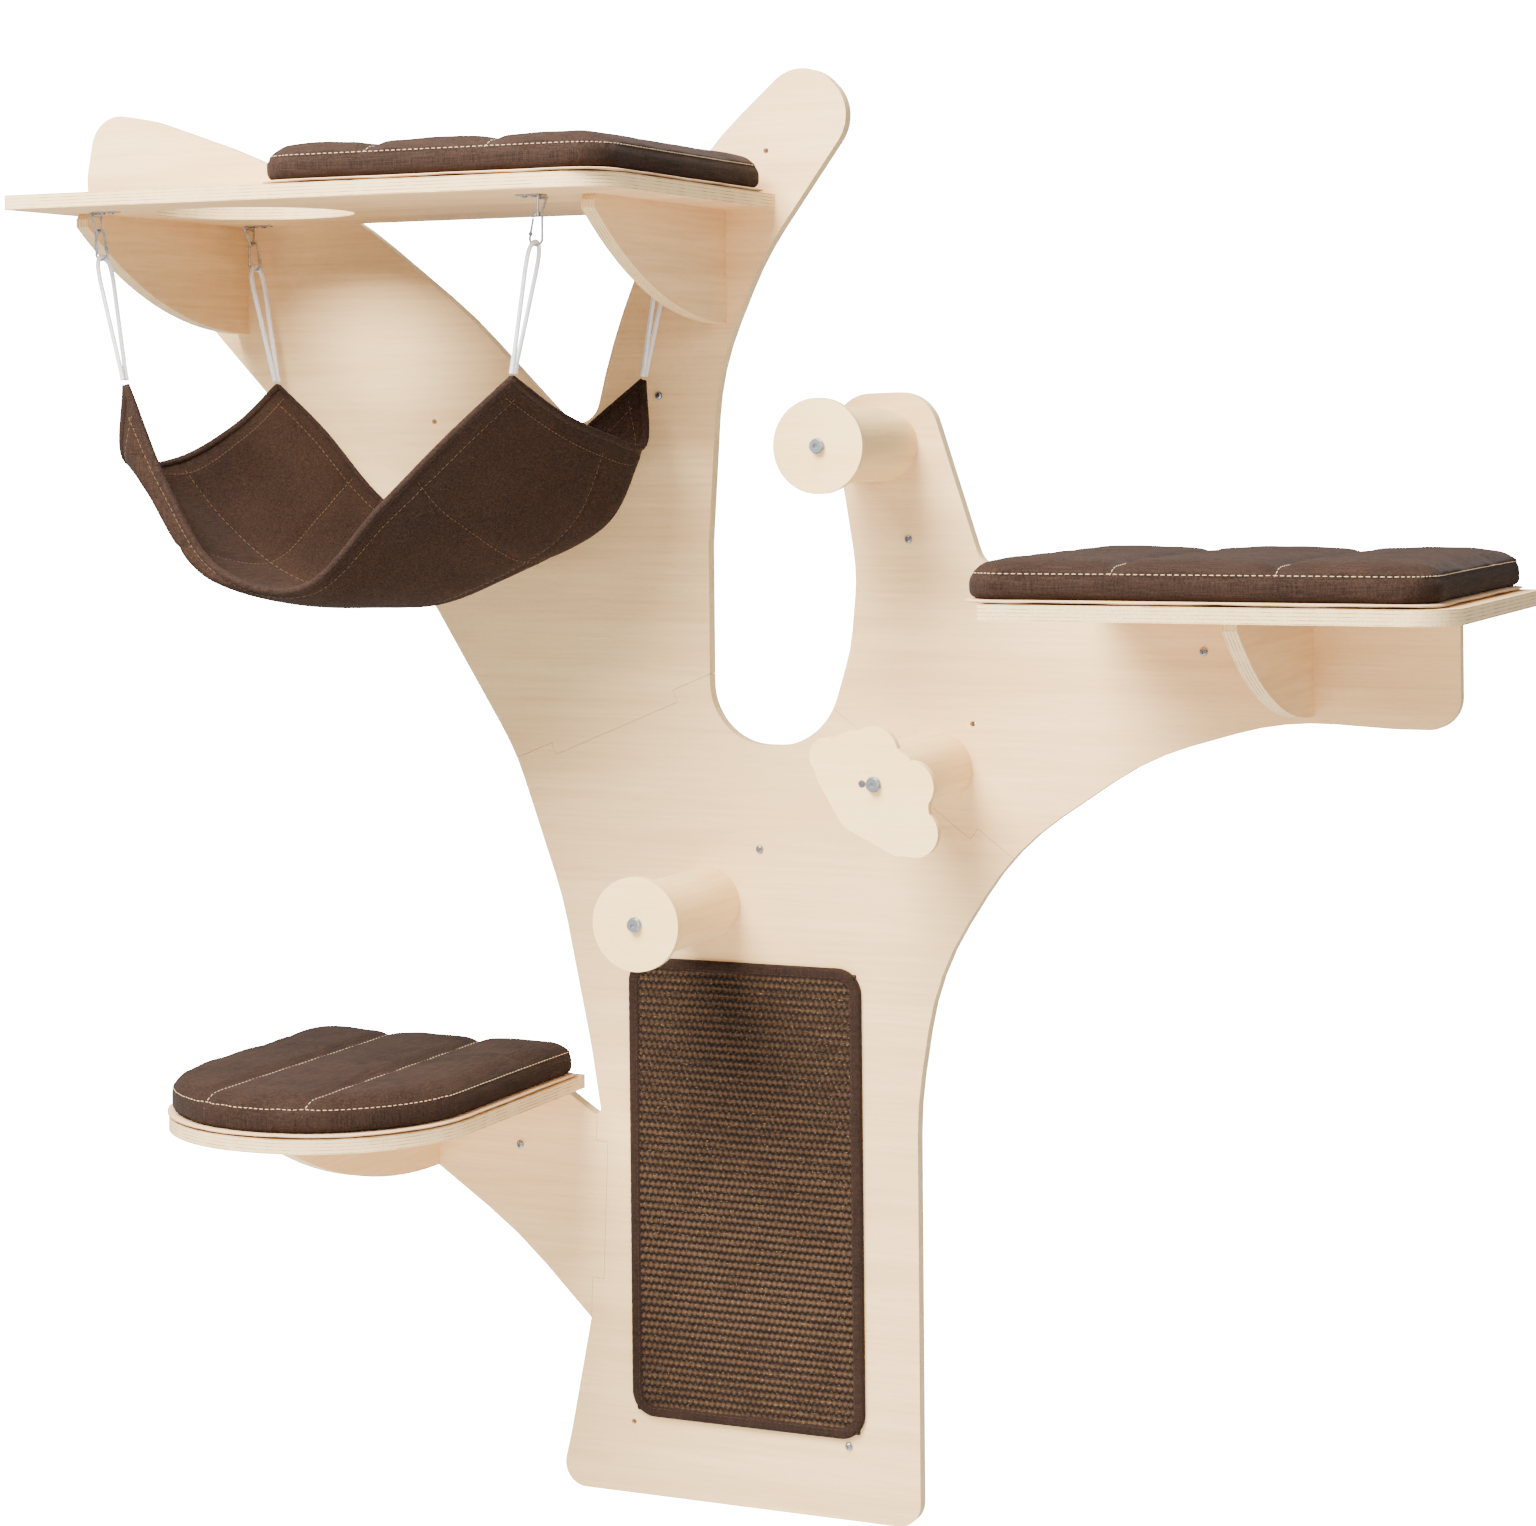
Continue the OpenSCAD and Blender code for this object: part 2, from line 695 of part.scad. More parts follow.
module gate(right, rear)
    color(steel_colour) at_sling(right, rear) difference() {
        union() {
            for (s = [-1, 1]) {
                translate([0, s * (cheek_in + cheek_t / 2), 0])
                    cross_rod(gate_x, pivot_z, tab_r, cheek_t / 2);
                translate([gate_x - 0.8, s * (cheek_in + cheek_t / 2) - cheek_t / 2, pivot_z])
                    cube([1.6, cheek_t, gate_from - pivot_z + 2]);
            }
            translate([gate_x, 0, gate_from])
                cylinder(r = gate_wire_r, h = gate_to - gate_from, $fn = small_fn);
        }
        cross_rod(gate_x, pivot_z, pivot_r + pivot_gap, 2 * barrel_w);
    }

// ---- Ropes: half of a loop's route in its own plane, [out from the middle, up] ----

rope_half_route = [
    [4, -134], [4, -124], [5, -112], [6, -100], [7, -88], [8, -76], [9, -64],
    [10, -52], [11, -40], [12, -28], [12, -18], [11, -10], [8, -4], [4, -1]
];
rope_sides = 10;
rope_route = concat(
    rope_half_route,
    [[0, 0]],
    [for (i = [len(rope_half_route) - 1:-1:0]) [-rope_half_route[i][0], rope_half_route[i][1]]]
);
rope_top_z = hook_low_z - hook_low_r + hook_wire_r + rope_d / 2 + 0.05;
rope_end_z = rope_top_z + rope_half_route[0][1];

// Direction along a route at point i
function route_way(route, i) =
    let (a = route[max(0, i - 1)], b = route[min(len(route) - 1, i + 1)]) unit(b - a);

module rope(right, rear)
    color(rope_colour) at_sling(right, rear) translate([-hook_shift, 0, rope_top_z]) {
        n = len(rope_route);
        spots = [for (i = [0:n - 1])
            let (p = rope_route[i], w = route_way(rope_route, i))
            for (k = [0:rope_sides - 1])
                let (a = 360 * k / rope_sides, side = rope_d / 2 * cos(a), out = rope_d / 2 * sin(a))
                [out, p[0] - w[1] * side, p[1] + w[0] * side]];
        skin = [for (i = [0:n - 2])
            for (k = [0:rope_sides - 1])
                let (j = (k + 1) % rope_sides, a = i * rope_sides, b = a + rope_sides)
                [a + k, a + j, b + j, b + k]];
        first = [for (k = [rope_sides - 1:-1:0]) k];
        last = [for (k = [0:rope_sides - 1]) (n - 1) * rope_sides + k];
        polyhedron(points = spots, faces = concat(skin, [first, last]));
    }

// ---- Hammock ----

// Where the front left rope ends, and so a corner of the cloth
corner_in = sin(rope_lean) * -rope_end_z;
corner_down = cos(rope_lean) * -rope_end_z;
corner_gap = 3;
hammock_half_w = hanger_span / 2 - corner_in;
hammock_half_d = hanger_depth / 2;
hammock_mid = [hanger_x + hanger_span / 2, hanger_y - hanger_depth / 2];
hammock_z = barrel_z - corner_down - corner_gap - cloth_t;
hammock_nu = 24;
hammock_nv = 12;

// The cloth's underside, laid by hand: rows from the front hem to the rear hem, each from left to right.
// A place is [right of the middle, behind the middle, below the corners].
net_half_w = 230;
net_half_d = 150;
net_drop = 211;
cloth_net = [
    [[-230, -150, 0], [-176, -154, 112], [-113, -156, 195], [-11, -154, 211], [79, -150, 128], [157, -150, 59], [230, -150, 0]],
    [[-237, -134, 77], [-198, -142, 110], [-123, -139, 205], [-1, -104, 226], [89, -94, 176], [179, -84, 96], [229, -59, 26]],
    [[-223, -66, 81], [-183, -34, 148], [-103, -9, 214], [11, 6, 236], [107, 16, 212], [197, 31, 148], [231, 31, 48]],
    [[-217, 40, 46], [-176, 66, 101], [-103, 81, 171], [4, 86, 221], [114, 96, 186], [209, 101, 138], [237, 116, 61]],
    [[-230, 150, 0], [-171, 150, 52], [-99, 150, 128], [-11, 150, 184], [71, 150, 134], [151, 150, 61], [230, 150, 0]]
];

// Knot i of a list, carried straight on past its ends
function knot(list, i) =
    let (last = len(list) - 1)
    i < 0 ? 2 * list[0] - list[1] : i > last ? 2 * list[last] - list[last - 1] : list[i];

// Place at t, from 0 to 1, on the smooth line through a list
function along(list, t) =
    let (
        n = len(list) - 1, i = min(floor(t * n), n - 1), s = t * n - i,
        a = knot(list, i - 1), b = list[i], c = list[i + 1], d = knot(list, i + 2)
    )
    (2 * b + (c - a) * s + (2 * a - 5 * b + 4 * c - d) * s * s + (3 * b - a - 3 * c + d) * s * s * s) / 2;

// Underside of the cloth at u across and v from front to rear, both from 0 to 1
function cloth_point(u, v) =
    let (p = along([for (row = cloth_net) along(row, u)], v))
    [
        hammock_mid[0] + p[0] * hammock_half_w / net_half_w,
        hammock_mid[1] + p[1] * hammock_half_d / net_half_d,
        hammock_z - p[2] * hem_drop / net_drop
    ];

module hammock() {
    row = hammock_nv + 1;
    layer = (hammock_nu + 1) * row;
    grid = [for (i = [0:hammock_nu])
        for (j = [0:hammock_nv])
            cloth_point(i / hammock_nu, j / hammock_nv)];
    spots = concat(grid, [for (p = grid) p + [0, 0, cloth_t]]);
    cells = [for (i = [0:hammock_nu - 1])
        for (j = [0:hammock_nv - 1])
            let (a = i * row + j, b = a + row)
            [a, b, b + 1, a + 1]];
    low = [for (c = cells) each [[c[0], c[3], c[1]], [c[1], c[3], c[2]]]];
    high = [for (c = cells) each [
        [c[0] + layer, c[1] + layer, c[3] + layer],
        [c[1] + layer, c[2] + layer, c[3] + layer]
    ]];
    edge = concat(
        [for (i = [0:hammock_nu]) i * row],
        [for (j = [1:hammock_nv]) hammock_nu * row + j],
        [for (i = [hammock_nu - 1:-1:0]) i * row + hammock_nv],
        [for (j = [hammock_nv - 1:-1:1]) j]
    );
    m = len(edge);
    rim = [for (k = [0:m - 1])
        let (a = edge[k], b = edge[(k + 1) % m])
        each [[a, b, a + layer], [b, b + layer, a + layer]]];
    color(hammock_colour)
        polyhedron(points = spots, faces = [for (f = concat(low, high, rim)) [f[2], f[1], f[0]]]);
}

// ---- The nodes ----

trunk_panel();
tree_piece(upper_seam, upper_beyond);  // upper_panel
tree_piece(right_seam, right_beyond);  // right_panel
tree_piece(left_seam, left_beyond);  // left_panel
top_shelf();
shelf(right_shelf_x, right_shelf_z, right_shelf_l, right_shelf_d, right_shelf_r);  // right_shelf
shelf(left_shelf_x, left_shelf_z, left_shelf_l, left_shelf_d, left_shelf_r);  // left_shelf
bracket(brackets[0]);  // top_bracket_left
bracket(brackets[1]);  // top_bracket_right
bracket(brackets[2]);  // right_bracket
bracket(brackets[3]);  // left_bracket
peg(0);  // peg_high
peg(1);  // peg_middle
peg(2);  // peg_low
round_cap(0);  // cap_high
cap_cloud();
round_cap(2);  // cap_low
peg_bolts();
peg_washers();
tee_nuts();
color(steel_colour) cloud_screw_shape();  // cloud_screw
wall_screws();
color(steel_colour) screws_from_back(edge_screws);  // shelf_edge_screws
color(steel_colour) screws_from_back(bracket_back_screws);  // bracket_screws
color(steel_colour) screws_down(down_screws);  // shelf_top_screws
scratch_mat();
mat_binding();
cushion_cover(top_cushion_x, top_shelf_z, top_cushion_l, top_shelf_d, top_cushion_r);  // top_cushion
cushion_pad(top_cushion_x, top_shelf_z, top_cushion_l, top_shelf_d, top_cushion_r);  // top_cushion_pad
cushion_cover(right_cushion_x, right_shelf_z, right_cushion_l, right_shelf_d, right_cushion_r);  // right_cushion
cushion_pad(right_cushion_x, right_shelf_z, right_cushion_l, right_shelf_d, right_cushion_r);  // right_cushion_pad
cushion_cover(left_shelf_x, left_shelf_z, left_shelf_l, left_shelf_d, left_shelf_r);  // left_cushion
cushion_pad(left_shelf_x, left_shelf_z, left_shelf_l, left_shelf_d, left_shelf_r);  // left_cushion_pad
hanger(0, 0);  // hanger_front_left
hanger(1, 0);  // hanger_front_right
hanger(0, 1);  // hanger_rear_left
hanger(1, 1);  // hanger_rear_right
color(steel_colour) hanger_screw_set();  // hanger_screws
ring(0, 0);  // ring_front_left
ring(1, 0);  // ring_front_right
ring(0, 1);  // ring_rear_left
ring(1, 1);  // ring_rear_right
snap(0, 0);  // snap_front_left
snap(1, 0);  // snap_front_right
snap(0, 1);  // snap_rear_left
snap(1, 1);  // snap_rear_right
gate(0, 0);  // gate_front_left
gate(1, 0);  // gate_front_right
gate(0, 1);  // gate_rear_left
gate(1, 1);  // gate_rear_right
rope(0, 0);  // rope_front_left
rope(1, 0);  // rope_front_right
rope(0, 1);  // rope_rear_left
rope(1, 1);  // rope_rear_right
hammock();
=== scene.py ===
"""Wall cat tree: the fabric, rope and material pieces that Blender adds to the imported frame."""

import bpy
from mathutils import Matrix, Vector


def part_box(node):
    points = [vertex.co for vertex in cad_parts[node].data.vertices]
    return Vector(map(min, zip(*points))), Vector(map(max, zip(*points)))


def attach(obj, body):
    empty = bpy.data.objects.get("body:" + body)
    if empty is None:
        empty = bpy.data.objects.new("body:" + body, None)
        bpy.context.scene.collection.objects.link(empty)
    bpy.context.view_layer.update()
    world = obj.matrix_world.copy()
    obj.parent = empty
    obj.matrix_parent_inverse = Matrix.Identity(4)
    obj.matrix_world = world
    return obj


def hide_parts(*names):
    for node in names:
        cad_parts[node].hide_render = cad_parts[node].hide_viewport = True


bl_info = {
    "name": "Wall Cat Tree",
    "version": (1, 0, 0),
    "blender": (4, 5, 0),
    "location": "View3D > Sidebar > Cat Tree",
    "description": "Cushions, hammock, ropes, sisal mat and materials for a wall cat tree",
    "category": "Add Mesh",
}

import math

import bmesh
import bpy
import numpy as np
from mathutils import Matrix, Vector
from mathutils.bvhtree import BVHTree

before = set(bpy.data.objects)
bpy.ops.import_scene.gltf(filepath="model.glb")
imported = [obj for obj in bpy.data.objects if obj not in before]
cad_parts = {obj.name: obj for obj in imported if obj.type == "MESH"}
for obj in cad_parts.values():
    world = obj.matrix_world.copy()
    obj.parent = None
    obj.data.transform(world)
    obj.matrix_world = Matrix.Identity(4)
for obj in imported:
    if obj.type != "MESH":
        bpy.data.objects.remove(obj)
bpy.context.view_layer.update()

MM = 0.001
ENDS = [(f, s) for f in ("front", "rear") for s in ("left", "right")]


# ---- Small helpers ----


def linear(code, alpha=1.0):
    """Turn an sRGB hex code into the linear colour that shader sockets take."""
    channels = [int(code[i : i + 2], 16) / 255 for i in (1, 3, 5)]
    return [c / 12.92 if c <= 0.04045 else ((c + 0.055) / 1.055) ** 2.4 for c in channels] + [alpha]


def per(size_mm):
    """Pattern scale, in repeats a metre, of a feature of this size."""
    return 1000 / size_mm


def add(tree, kind, sockets=(), **settings):
    """Add a node; sockets maps input names or numbers to constants or to outputs to link."""
    made = tree.nodes.new(kind)
    for name, value in settings.items():
        setattr(made, name, value)
    for key, value in dict(sockets).items():
        if isinstance(value, bpy.types.NodeSocket):
            tree.links.new(value, made.inputs[key])
        else:
            made.inputs[key].default_value = value
    return made


def maths(tree, operation, *values):
    """Output of one Math node."""
    return add(tree, "ShaderNodeMath", enumerate(values), operation=operation).outputs[0]


def mixed(tree, factor, low, high, blend="MIX"):
    """Output of one colour Mix node."""
    sockets = {"Factor": factor, 6: low, 7: high}
    return add(tree, "ShaderNodeMix", sockets, data_type="RGBA", blend_type=blend).outputs[2]


def span(tree, value, from_low, from_high, to_low=0.0, to_high=1.0):
    """Value mapped from one range to another, and clamped."""
    sockets = dict(enumerate([value, from_low, from_high, to_low, to_high]))
    return add(tree, "ShaderNodeMapRange", sockets).outputs[0]


def noise(tree, where, scales, detail=3.0, roughness=0.5, distortion=0.0):
    """Noise whose features are 1 / scales long on each axis."""
    mapped = add(tree, "ShaderNodeMapping", {"Vector": where, "Scale": scales}).outputs[0]
    sockets = {"Vector": mapped, "Scale": 1.0, "Detail": detail, "Roughness": roughness,
               "Distortion": distortion}
    return add(tree, "ShaderNodeTexNoise", sockets).outputs[0]


def new_material(name):
    """An empty material, its node tree and its Object coordinates node."""
    made = bpy.data.materials.new(name)
    made.use_nodes = True
    made.node_tree.nodes.clear()
    return made, made.node_tree, add(made.node_tree, "ShaderNodeTexCoord")


def finish_material(tree, colour, roughness, height=None, depth_mm=0.1, **more):
    """Join colour, roughness and relief into one Principled surface."""
    sockets = {"Base Color": colour, "Roughness": roughness}
    sockets.update({name.replace("_", " "): value for name, value in more.items()})
    if height is not None:
        bump = {"Height": height, "Distance": depth_mm * MM, "Strength": 1.0}
        sockets["Normal"] = add(tree, "ShaderNodeBump", bump).outputs[0]
    surface = add(tree, "ShaderNodeBsdfPrincipled", sockets)
    add(tree, "ShaderNodeOutputMaterial", {0: surface.outputs[0]})


def new_piece(name, points, faces, material, body, stands_for=(), smooth=True):
    """A mesh piece with its place in its vertices, riding a body of the frame."""
    mesh = bpy.data.meshes.new(name)
    mesh.from_pydata(np.asarray(points).tolist(), [], [list(map(int, f)) for f in faces])
    mesh.polygons.foreach_set("use_smooth", [smooth] * len(mesh.polygons))
    mesh.materials.append(material)
    made = bpy.data.objects.new(name, mesh)
    bpy.context.scene.collection.objects.link(made)
    if stands_for:
        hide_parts(*stands_for)
    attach(made, body)
    return made


def paint(nodes, material):
    """Give CAD nodes one material."""
    for name in nodes:
        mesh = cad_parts[name].data
        mesh.materials.clear()
        mesh.materials.append(material)
        mesh.polygons.foreach_set("material_index", [0] * len(mesh.polygons))
        mesh.update()


def grid_faces(rows, columns, wrap=False):
    """Quads of a grid of points stored row by row; wrap closes each row on itself."""
    across = columns if wrap else columns - 1
    i, j = np.meshgrid(np.arange(rows - 1), np.arange(across), indexing="ij")
    a, b = i * columns + j, i * columns + (j + 1) % columns
    return np.stack([a, b, b + columns, a + columns], -1).reshape(-1, 4)


def smooth_route(points, step):
    """Points a fixed step apart on the Catmull-Rom curve through the given points."""
    p = np.asarray(points, float)
    p = np.vstack([2 * p[0] - p[1], p, 2 * p[-1] - p[-2]])
    t = np.linspace(0, 1, 24, endpoint=False)[:, None]
    runs = []
    for a, b, c, d in zip(p[:-3], p[1:-2], p[2:-1], p[3:]):
        square, cube = 2 * a - 5 * b + 4 * c - d, 3 * b - a - 3 * c + d
        runs.append(0.5 * (2 * b + (c - a) * t + square * t**2 + cube * t**3))
    fine = np.vstack(runs + [p[-2:-1]])
    gone = np.concatenate([[0], np.cumsum(np.linalg.norm(np.diff(fine, axis=0), axis=1))])
    count = max(2, int(round(gone[-1] / step)) + 1)
    at = np.linspace(0, gone[-1], count)
    return np.stack([np.interp(at, gone, fine[:, k]) for k in range(3)], 1), gone[-1]


def tube(route, radius, sides, up):
    """Rings of points round a route: for each route point, `sides` points at `radius`
    (a number, or one value for each ring and side) in the plane across the route's direction.
    Returns points and quads, both ends capped by a fan round the end's own centre."""
    way = np.gradient(route, axis=0)
    way /= np.linalg.norm(way, axis=1)[:, None]
    side = np.cross(way, np.asarray(up, float))
    side /= np.linalg.norm(side, axis=1)[:, None]
    top = np.cross(side, way)
    turn = np.linspace(0, 2 * math.pi, sides, endpoint=False)
    r = np.broadcast_to(radius, (len(route), sides))[..., None]
    across, upward = np.cos(turn)[None, :, None], np.sin(turn)[None, :, None]
    rings = route[:, None] + r * (across * side[:, None] + upward * top[:, None])
    points = np.vstack([rings.reshape(-1, 3), route[:1], route[-1:]])
    faces = grid_faces(len(route), sides, wrap=True)[:, ::-1].tolist()
    start, end, last = len(route) * sides, len(route) * sides + 1, (len(route) - 1) * sides
    for k in range(sides):
        n = (k + 1) % sides
        faces.append([start, k, n])
        faces.append([end, last + n, last + k])
    return points, faces


def outwards(obj):
    """Merge doubles and turn every face outwards."""
    work = bmesh.new()
    work.from_mesh(obj.data)
    bmesh.ops.remove_doubles(work, verts=work.verts, dist=1e-6)
    bmesh.ops.recalc_face_normals(work, faces=work.faces)
    work.to_mesh(obj.data)
    work.free()


# ---- Materials ----


# Specular level of wood that has no varnish
BARE_WOOD_SHINE = 0.22


def plywood(name, thick, grain, light="#F6D096", dark="#D4A873", ply_mm=1.7):
    """Birch plywood: long fine grain on the faces across axis `thick`, bands of plies on the edges."""
    made, tree, coords = new_material(name)
    where, normal = coords.outputs["Object"], coords.outputs["Normal"]
    parts = add(tree, "ShaderNodeSeparateXYZ", {0: where})
    facing = maths(tree, "ABSOLUTE", add(tree, "ShaderNodeSeparateXYZ", {0: normal}).outputs[thick])
    on_face = span(tree, facing, 0.6, 0.8)

    def grained(across_mm, along_mm):
        return [per(along_mm) if k == grain else per(across_mm) for k in range(3)]

    figure = noise(tree, where, grained(46, 520), detail=3, distortion=0.6)
    streaks = noise(tree, where, grained(5, 150), detail=4, roughness=0.6)
    pores = noise(tree, where, grained(0.9, 12), detail=2, roughness=0.6)
    tone = maths(tree, "ADD", maths(tree, "MULTIPLY", span(tree, figure, 0.35, 0.65), 0.55),
                 maths(tree, "MULTIPLY", span(tree, streaks, 0.35, 0.7), 0.45))
    face = mixed(tree, maths(tree, "MULTIPLY", tone, 0.75), linear(light), linear(dark))
    flecks = span(tree, pores, 0.60, 0.74, 0.0, 0.22)
    face = mixed(tree, flecks, face, linear("#B8824F"))
    layer = maths(tree, "SINE", maths(tree, "MULTIPLY", parts.outputs[thick], 2 * math.pi * per(2 * ply_mm)))
    ends = noise(tree, where, [per(1.1)] * 3, detail=3, roughness=0.7)
    breaks = noise(tree, where, [per(22)] * 3, detail=2)
    glue = maths(tree, "MULTIPLY", span(tree, layer, 0.7, 0.95), span(tree, breaks, 0.4, 0.6, 0.2, 0.85))
    edge = mixed(tree, span(tree, ends, 0.4, 0.65), linear("#F8DCA4"), linear("#DDB27C"))
    edge = mixed(tree, glue, edge, linear("#8E6238"))
    colour = mixed(tree, on_face, edge, face)
    height = maths(tree, "ADD", maths(tree, "MULTIPLY", streaks, 0.5), maths(tree, "MULTIPLY", pores, 0.5))
    rough = span(tree, streaks, 0.3, 0.7, 0.5, 0.64)
    finish_material(tree, colour, rough, height, 0.12, Specular_IOR_Level=BARE_WOOD_SHINE)
    return made


def turned_wood(name):
    """Pale turned birch with its grain along the rod, and growth rings on its end."""
    made, tree, coords = new_material(name)
    where = coords.outputs["Object"]
    streaks = noise(tree, where, [per(4), per(170), per(4)], detail=4, roughness=0.6)
    broad = noise(tree, where, [per(26), per(300), per(26)], detail=2, distortion=0.5)
    pores = noise(tree, where, [per(0.9), per(10), per(0.9)], detail=2)
    tone = maths(tree, "ADD", maths(tree, "MULTIPLY", span(tree, broad, 0.35, 0.65), 0.5),
                 maths(tree, "MULTIPLY", span(tree, streaks, 0.35, 0.7), 0.5))
    colour = mixed(tree, maths(tree, "MULTIPLY", tone, 0.6), linear("#F0CF92"), linear("#D3A468"))
    colour = mixed(tree, span(tree, pores, 0.6, 0.75, 0.0, 0.2), colour, linear("#B0824F"))
    rough = span(tree, streaks, 0.3, 0.7, 0.45, 0.6)
    finish_material(tree, colour, rough, pores, 0.08, Specular_IOR_Level=BARE_WOOD_SHINE)
    return made


def zinc(name, light="#A3A7AE", dark="#6E747E", base_roughness=0.3):
    """Blue zinc plate: metal with a faint mottled bloom and fine tool marks."""
    made, tree, coords = new_material(name)
    where = coords.outputs["Object"]
    bloom = noise(tree, where, [per(3.5)] * 3, detail=3)
    marks = noise(tree, where, [per(0.35), per(0.35), per(4)], detail=2)
    colour = mixed(tree, span(tree, bloom, 0.35, 0.65), linear(light), linear(dark))
    rough = span(tree, bloom, 0.3, 0.7, base_roughness, base_roughness + 0.16)
    finish_material(tree, colour, rough, marks, 0.02, Metallic=1.0)
    return made


def cloth(name, light, dark, thread_mm, slub_mm=28, depth_mm=0.5, sheen=0.02):
    """Plain-woven linen look: threads along X, Y and Z as three long thin noises, uneven in colour."""
    made, tree, coords = new_material(name)
    where = coords.outputs["Object"]
    threads = []
    for axis in range(3):
        scales = [per(slub_mm) if k == axis else per(thread_mm) for k in range(3)]
        threads.append(noise(tree, where, scales, detail=1, roughness=0.4))
    all_threads = maths(tree, "ADD", maths(tree, "ADD", threads[0], threads[1]), threads[2])
    weave = maths(tree, "DIVIDE", all_threads, 3.0)
    clouds = noise(tree, where, [per(60)] * 3, detail=2)
    tone = maths(tree, "ADD", span(tree, weave, 0.36, 0.64, 0.0, 0.8), span(tree, clouds, 0.3, 0.7, 0.0, 0.2))
    colour = mixed(tree, tone, linear(dark), linear(light))
    finish_material(tree, colour, span(tree, weave, 0.3, 0.7, 0.95, 0.8), weave, depth_mm,
                    Sheen_Weight=sheen, Sheen_Roughness=0.5, Specular_IOR_Level=0.1)
    return made


def sisal(name, rib_mm, bead_mm):
    """Brown ribbed sisal: beads along each rib, staggered from rib to rib, with pale fibre specks. Each
    bead's top is painted lighter as a painted highlight, and the line between rib rows darker as painted
    shade.
    """
    made, tree, coords = new_material(name)
    where = coords.outputs["Object"]
    x, _, z = add(tree, "ShaderNodeSeparateXYZ", {0: where}).outputs
    rib = maths(tree, "MULTIPLY", z, per(rib_mm))
    shift = maths(tree, "MULTIPLY", maths(tree, "FLOOR", rib), math.pi)
    along_rib = maths(tree, "MULTIPLY", x, 2 * math.pi * per(bead_mm))
    bead = maths(tree, "SINE", maths(tree, "ADD", along_rib, shift))
    fibres = noise(tree, where, [per(5), per(1), per(0.8)], detail=3, roughness=0.7)
    specks = noise(tree, where, [per(2.6), per(2), per(1.6)], detail=2, roughness=0.8)
    patches = noise(tree, where, [per(30), per(30), per(12)], detail=2)
    ridge = maths(tree, "COSINE", maths(tree, "MULTIPLY", rib, 2 * math.pi))
    # Painted light: bead tops are lighter as a painted highlight and the line between rib rows darker as
    # painted shade; the fibre noise is the sisal's own tone
    fibre_tone_and_painted_light = maths(tree, "SUBTRACT", maths(tree, "MULTIPLY", bead, 0.32), maths(tree, "MULTIPLY", ridge, 0.45))
    fibre_tone_and_painted_light = maths(tree, "ADD", fibre_tone_and_painted_light, maths(tree, "MULTIPLY", fibres, 1.1))
    colour = mixed(tree, span(tree, fibre_tone_and_painted_light, 0.1, 1.2), linear("#150D08"), linear("#4E3928"))
    colour = mixed(tree, span(tree, patches, 0.4, 0.7, 0.0, 0.35), colour, linear("#160D08"))
    colour = mixed(tree, span(tree, specks, 0.62, 0.7, 0.0, 0.4), colour, linear("#B28C60"))
    height = maths(tree, "ADD", maths(tree, "MULTIPLY", bead, 0.6), fibres)
    finish_material(tree, colour, 0.95, height, 0.8, Specular_IOR_Level=0.15)
    return made


def braid(name):
    """White braided cord, drawn on the cord's own UV map: U runs round it and V along it in metres."""
    made, tree, coords = new_material(name)
    u, v, _ = add(tree, "ShaderNodeSeparateXYZ", {0: coords.outputs["UV"]}).outputs
    strands, pitch_mm = 6, 9
    round_it = maths(tree, "MULTIPLY", u, 2 * math.pi * strands)
    along = maths(tree, "MULTIPLY", v, 2 * math.pi * strands * per(pitch_mm) / 2)
    one = maths(tree, "SINE", maths(tree, "ADD", round_it, along))
    two = maths(tree, "SINE", maths(tree, "SUBTRACT", round_it, along))
    weave = maths(tree, "MULTIPLY", one, two)
    fuzz = noise(tree, coords.outputs["Object"], [per(0.5)] * 3, detail=2)
    # Painted shade: where the weave sinks between strands the cord is painted a little greyer, and it is
    # white on the strand crests
    colour = mixed(tree, span(tree, weave, -0.9, 0.6), linear("#F2F0EE"), linear("#FFFFFF"))
    height = maths(tree, "ADD", weave, fuzz)
    finish_material(tree, colour, 0.85, height, 0.3, Sheen_Weight=0.2)
    return made


# ---- Settings ----


class CatTreeSettings(bpy.types.PropertyGroup):
    """Sizes of the soft parts."""

    seam_height: bpy.props.FloatProperty(
        name="Seam height", description="Height of a cushion's stitched seam over its board",
        default=0.027, min=0.015, max=0.035, unit="LENGTH")
    stitch_pitch: bpy.props.FloatProperty(
        name="Stitch pitch", description="Distance from one stitch to the next",
        default=0.0065, min=0.004, max=0.012, unit="LENGTH")
    stitch_length: bpy.props.FloatProperty(
        name="Stitch length", description="Length of thread showing in one stitch",
        default=0.0048, min=0.002, max=0.008, unit="LENGTH")
    channel_depth: bpy.props.FloatProperty(
        name="Channel depth", description="Depth of the sewn channels across a cushion",
        default=0.006, min=0.0, max=0.02, unit="LENGTH")
    swell: bpy.props.FloatProperty(
        name="Swell", description="Furthest that the stuffing may push a cushion's cover out",
        default=0.006, min=0.0, max=0.016, unit="LENGTH")
    rib_pitch: bpy.props.FloatProperty(
        name="Rib pitch", description="Height of one woven rib of the scratching mat",
        default=0.008, min=0.004, max=0.016, unit="LENGTH")
    rope_diameter: bpy.props.FloatProperty(
        name="Rope diameter", description="Diameter of the hammock's ropes",
        default=0.005, min=0.003, max=0.008, unit="LENGTH")
    hem_radius: bpy.props.FloatProperty(
        name="Hem radius", description="Radius of the hammock's rolled hem",
        default=0.0042, min=0.002, max=0.008, unit="LENGTH")


def settings():
    """The scene's sizes."""
    return bpy.context.scene.cat_tree


# ---- Stitches ----


